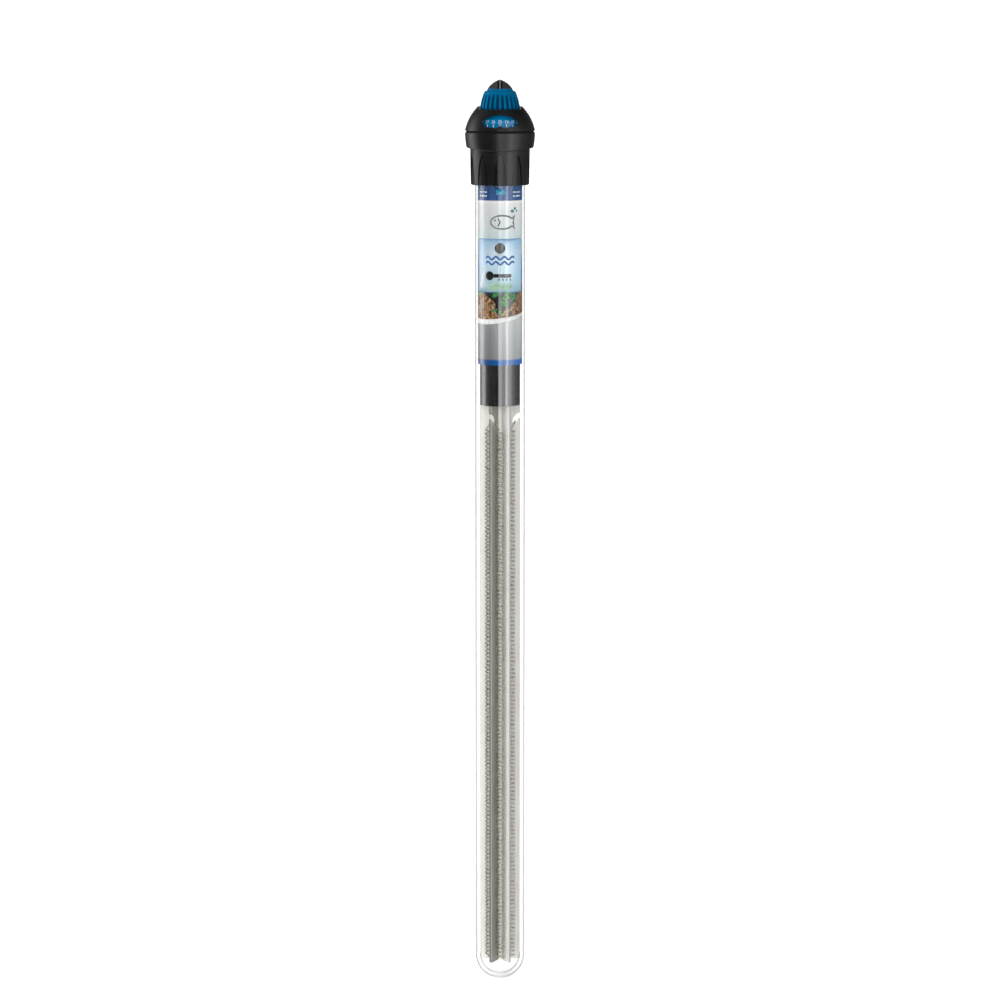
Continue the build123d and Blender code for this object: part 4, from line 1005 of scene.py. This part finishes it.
def card_with_hole(inset):
    """The card's outline in two halves that meet above and below the hole."""
    left, right = -card_half + inset, card_half - inset
    low, high = CARD_Z[0] + inset, CARD_Z[1] - inset
    halves = []
    for side in (-1, 1):
        edge = right if side > 0 else left
        outline = [(0, low), (edge, low)]
        for k in range(7):
            angle = radians(15 * k)
            along = edge - side * CARD_CORNER * (1 - cos(angle))
            outline.append((along, high - CARD_CORNER * (1 - sin(angle))))
        outline.append((0, high))
        for k in range(17):
            angle = radians(180 * k / 16)
            outline.append((side * HOLE_R * sin(angle), LAMP_Z + HOLE_R * cos(angle)))
        halves.append(outline)
    return halves


printed("print_card", card_with_hole(CARD_RIM), "card", layer=4)
printed("print_card_rim", card_with_hole(0), "rim", layer=3)

# Pale plume of haze that rises to the right on the card's left part
plume = [(-62, 371.0), (-52, 371.6)]
plume += [(-52 + 3 * k, 371.6 + 2.2 * k) for k in range(1, 6)]
plume += [(-40, 383.4), (-46, 382.6), (-56, 378.0), (-61, 374.0)]
printed("print_haze", [[(around_label(angle), z) for angle, z in plume]], "pale", layer=5)

# Large grey fish, in outline, with bubbles over its tail
FISH_X, FISH_Z = 1.2, 405.6
FISH_STROKE = 0.85
fish = []
for k in range(33):
    angle = radians(32 + 296 * k / 32)
    fish.append((FISH_X + 6.2 * cos(angle), FISH_Z + 3.4 * sin(angle)))
tail = [fish[0], (7.9, FISH_Z + 3.4), (7.2, FISH_Z), (7.9, FISH_Z - 3.4), fish[-1]]
gill = [(-1.0, FISH_Z + 2.0), (0.0, FISH_Z), (-1.0, FISH_Z - 2.0)]
eye = disc(-2.6, FISH_Z + 1.0, 0.55)
strokes = ribbons(fish, FISH_STROKE) + ribbons(tail, FISH_STROKE) + ribbons(gill, 0.8)
printed("print_fish", strokes + [eye], "grey", layer=1)
bubbles = [disc(6.6, 411.2, 0.95), disc(8.3, 412.6, 0.7), disc(9.5, 411.4, 0.5)]
printed("print_bubbles", bubbles, "teal", layer=1)

# Two blue water waves
waves = []
for height in (387.2, 384.6):
    line = [(-7.6 + 15.4 * k / 48, height + 0.75 * sin(tau * 3.5 * k / 48)) for k in range(49)]
    waves += ribbons(line, 1.0)
printed("print_waves", waves, "blue", layer=5)

# Black thermometer, lying on its side
stem = rounded_box(-5.6, 6.2, 377.2, 379.0, 0.88)
ticks = [rounded_box(-0.9 + 2.0 * k, -0.2 + 2.0 * k, 375.6, 376.7, 0.1, points=2) for k in range(4)]
printed("print_thermometer", [stem, disc(-5.6, 378.1, 2.35, points=28)] + ticks, "black", layer=5)

# Small white dashes and a square on the blue band
dashes = []
for side in (-1, 1):
    for row, lengths in enumerate(((2.0, 1.6, 1.2), (1.4, 2.4, 1.0))):
        along = around_label(side * 50) - 2.9
        for length in lengths:
            z = 421.0 - 2.0 * row
            dashes.append(rounded_box(along, along + length, z - 0.42, z + 0.42, 0.2, points=2))
            along += length + 0.45
printed("print_dashes", dashes, "white", layer=1)
printed("print_square", [rounded_box(-1.9, 2.6, 419.6, 422.4, 0.5)], "cyan", layer=1)

# ---------------------------------------------------------------- scale on the drum


def on_drum(up):
    return DRUM_R - max(0.0, up - DRUM_CONE_Z) * DRUM_CONE_SLOPE


scale_white = ink("scale_white", srgb(214, 222, 232), srgb(196, 206, 220), ior=1.5, roughness=0.35)


def numeral(text):
    """A number as a flat mesh, centred, of the scale's height."""
    curve = bpy.data.curves.new("numeral", "FONT")
    curve.body = text
    curve.resolution_u = 4
    holder = bpy.data.objects.new("numeral", curve)
    bpy.context.scene.collection.objects.link(holder)
    mesh = bpy.data.meshes.new_from_object(holder)
    bpy.data.objects.remove(holder)
    bpy.data.curves.remove(curve)
    xs = [vertex.co.x for vertex in mesh.vertices]
    ys = [vertex.co.y for vertex in mesh.vertices]
    size = NUMERAL_HEIGHT / (max(ys) - min(ys))
    centred = Matrix.Translation((-(min(xs) + max(xs)) / 2, -(min(ys) + max(ys)) / 2, 0))
    mesh.transform(Matrix.Diagonal((0.8 * size, size, size, 1)) @ centred)
    return mesh


def along_drum(degrees_c):
    """Distance of a temperature's mark from the front, round the drum. The scale rises to the left."""
    return (MIDDLE_TEMPERATURE - degrees_c) * NUMERAL_STEP * DRUM_R


numeral_mesh = bmesh.new()
for degrees_c in TEMPERATURES:
    flat = bmesh.new()
    mesh = numeral(str(degrees_c))
    flat.from_mesh(mesh)
    bpy.data.meshes.remove(mesh)
    bmesh.ops.remove_doubles(flat, verts=flat.verts[:], dist=1e-7)
    bmesh.ops.translate(flat, verts=flat.verts[:], vec=(along_drum(degrees_c), NUMERAL_Z, 0))
    lay_flat(numeral_mesh, flat, on_drum, PRINT_LIFT, 2 * PRINT_THICKNESS, 0.5 * MM, [DRUM_CONE_Z])
piece("scale_numerals", numeral_mesh, scale_white, "dial")

marks = []
for degrees_c in TEMPERATURES:
    middle = along_drum(degrees_c)
    marks.append(rounded_box(middle - TICK_WIDTH / 2, middle + TICK_WIDTH / 2, *TICK_Z, 0.2 * MM, points=2))
marks_mesh = bmesh.new()
wrapped(marks_mesh, marks, on_drum, PRINT_LIFT, thickness=2 * PRINT_THICKNESS)
piece("scale_marks", marks_mesh, scale_white, "dial")

# ---------------------------------------------------------------- floor and light


def studio_world():
    """A white room: soft panels show in reflections, and a wash of light from the left lights the rest."""
    world = bpy.data.worlds.new("studio")
    bpy.context.scene.world = world
    world.use_nodes = True
    s = Nodes(world.node_tree)
    background = s.tree.nodes["Background"]
    direction = s.node("ShaderNodeTexCoord").outputs["Generated"]
    split = s.node("ShaderNodeSeparateXYZ")
    s.link(direction, split.inputs[0])
    azimuth = s.maths("ARCTAN2", split.outputs["X"], s.maths("MULTIPLY", split.outputs["Y"], -1))
    turn = s.between(azimuth, -pi, pi)

    def at(degrees):
        return (degrees + 180) / 360

    panels = s.ramp(turn, [
        (at(-180), grey(0.8)),
        (at(-173), grey(0.8)),
        (at(-164), grey(0.12)),
        (at(-148), grey(0.15)),
        (at(-128), grey(0.3)),
        (at(-122), grey(1.6)),
        (at(-96), grey(1.45)),
        (at(-88), grey(0.4)),
        (at(-80), grey(0.2)),
        (at(-64), grey(0.05)),
        (at(-9), grey(0.03)),
        (at(-7.5), grey(1.3)),
        (at(8), grey(1.3)),
        (at(12), grey(0.8)),
        (at(29), grey(0.8)),
        (at(33), grey(2.4)),
        (at(41), grey(2.4)),
        (at(45), grey(1.1)),
        (at(66), grey(1.0)),
        (at(74), grey(0.35)),
        (at(100), grey(0.25)),
        (at(118), grey(0.12)),
        (at(160), grey(0.1)),
        (at(173), grey(0.3)),
        (at(180), grey(0.8)),
    ])
    height = s.between(split.outputs["Z"], 0.2, 0.6, 1.0, 0.08)
    panels = s.mix(1.0, panels, height, blend="MULTIPLY")
    wash = s.ramp(turn, [
        (at(-180), grey(1.0)),
        (at(-90), grey(1.95)),
        (at(-30), grey(1.45)),
        (at(30), grey(0.95)),
        (at(75), grey(0.65)),
        (at(110), grey(0.8)),
        (at(180), grey(1.0)),
    ])
    rays = s.node("ShaderNodeLightPath")
    seen = s.mix(rays.outputs["Is Glossy Ray"], wash, panels)
    seen = s.mix(rays.outputs["Is Camera Ray"], seen, grey(1.02))
    s.link(seen, background.inputs["Color"])
    background.inputs["Strength"].default_value = 1.0


studio_world()

floor_mesh = bpy.data.meshes.new("floor")
signs = ((-1, -1), (1, -1), (1, 1), (-1, 1))
floor_mesh.from_pydata([(x * FLOOR_REACH, y * FLOOR_REACH, 0) for x, y in signs], [], [(0, 1, 2, 3)])
floor = bpy.data.objects.new("floor", floor_mesh)
bpy.context.scene.collection.objects.link(floor)
floor_shader = Shader("floor")
floor_shader.colour(grey(0.92))
floor_shader.rough(0.9)
floor_shader.set(Emission_Color=grey(1.0), Emission_Strength=0.3)
floor_mesh.materials.append(floor_shader.material)
floor.visible_glossy = False
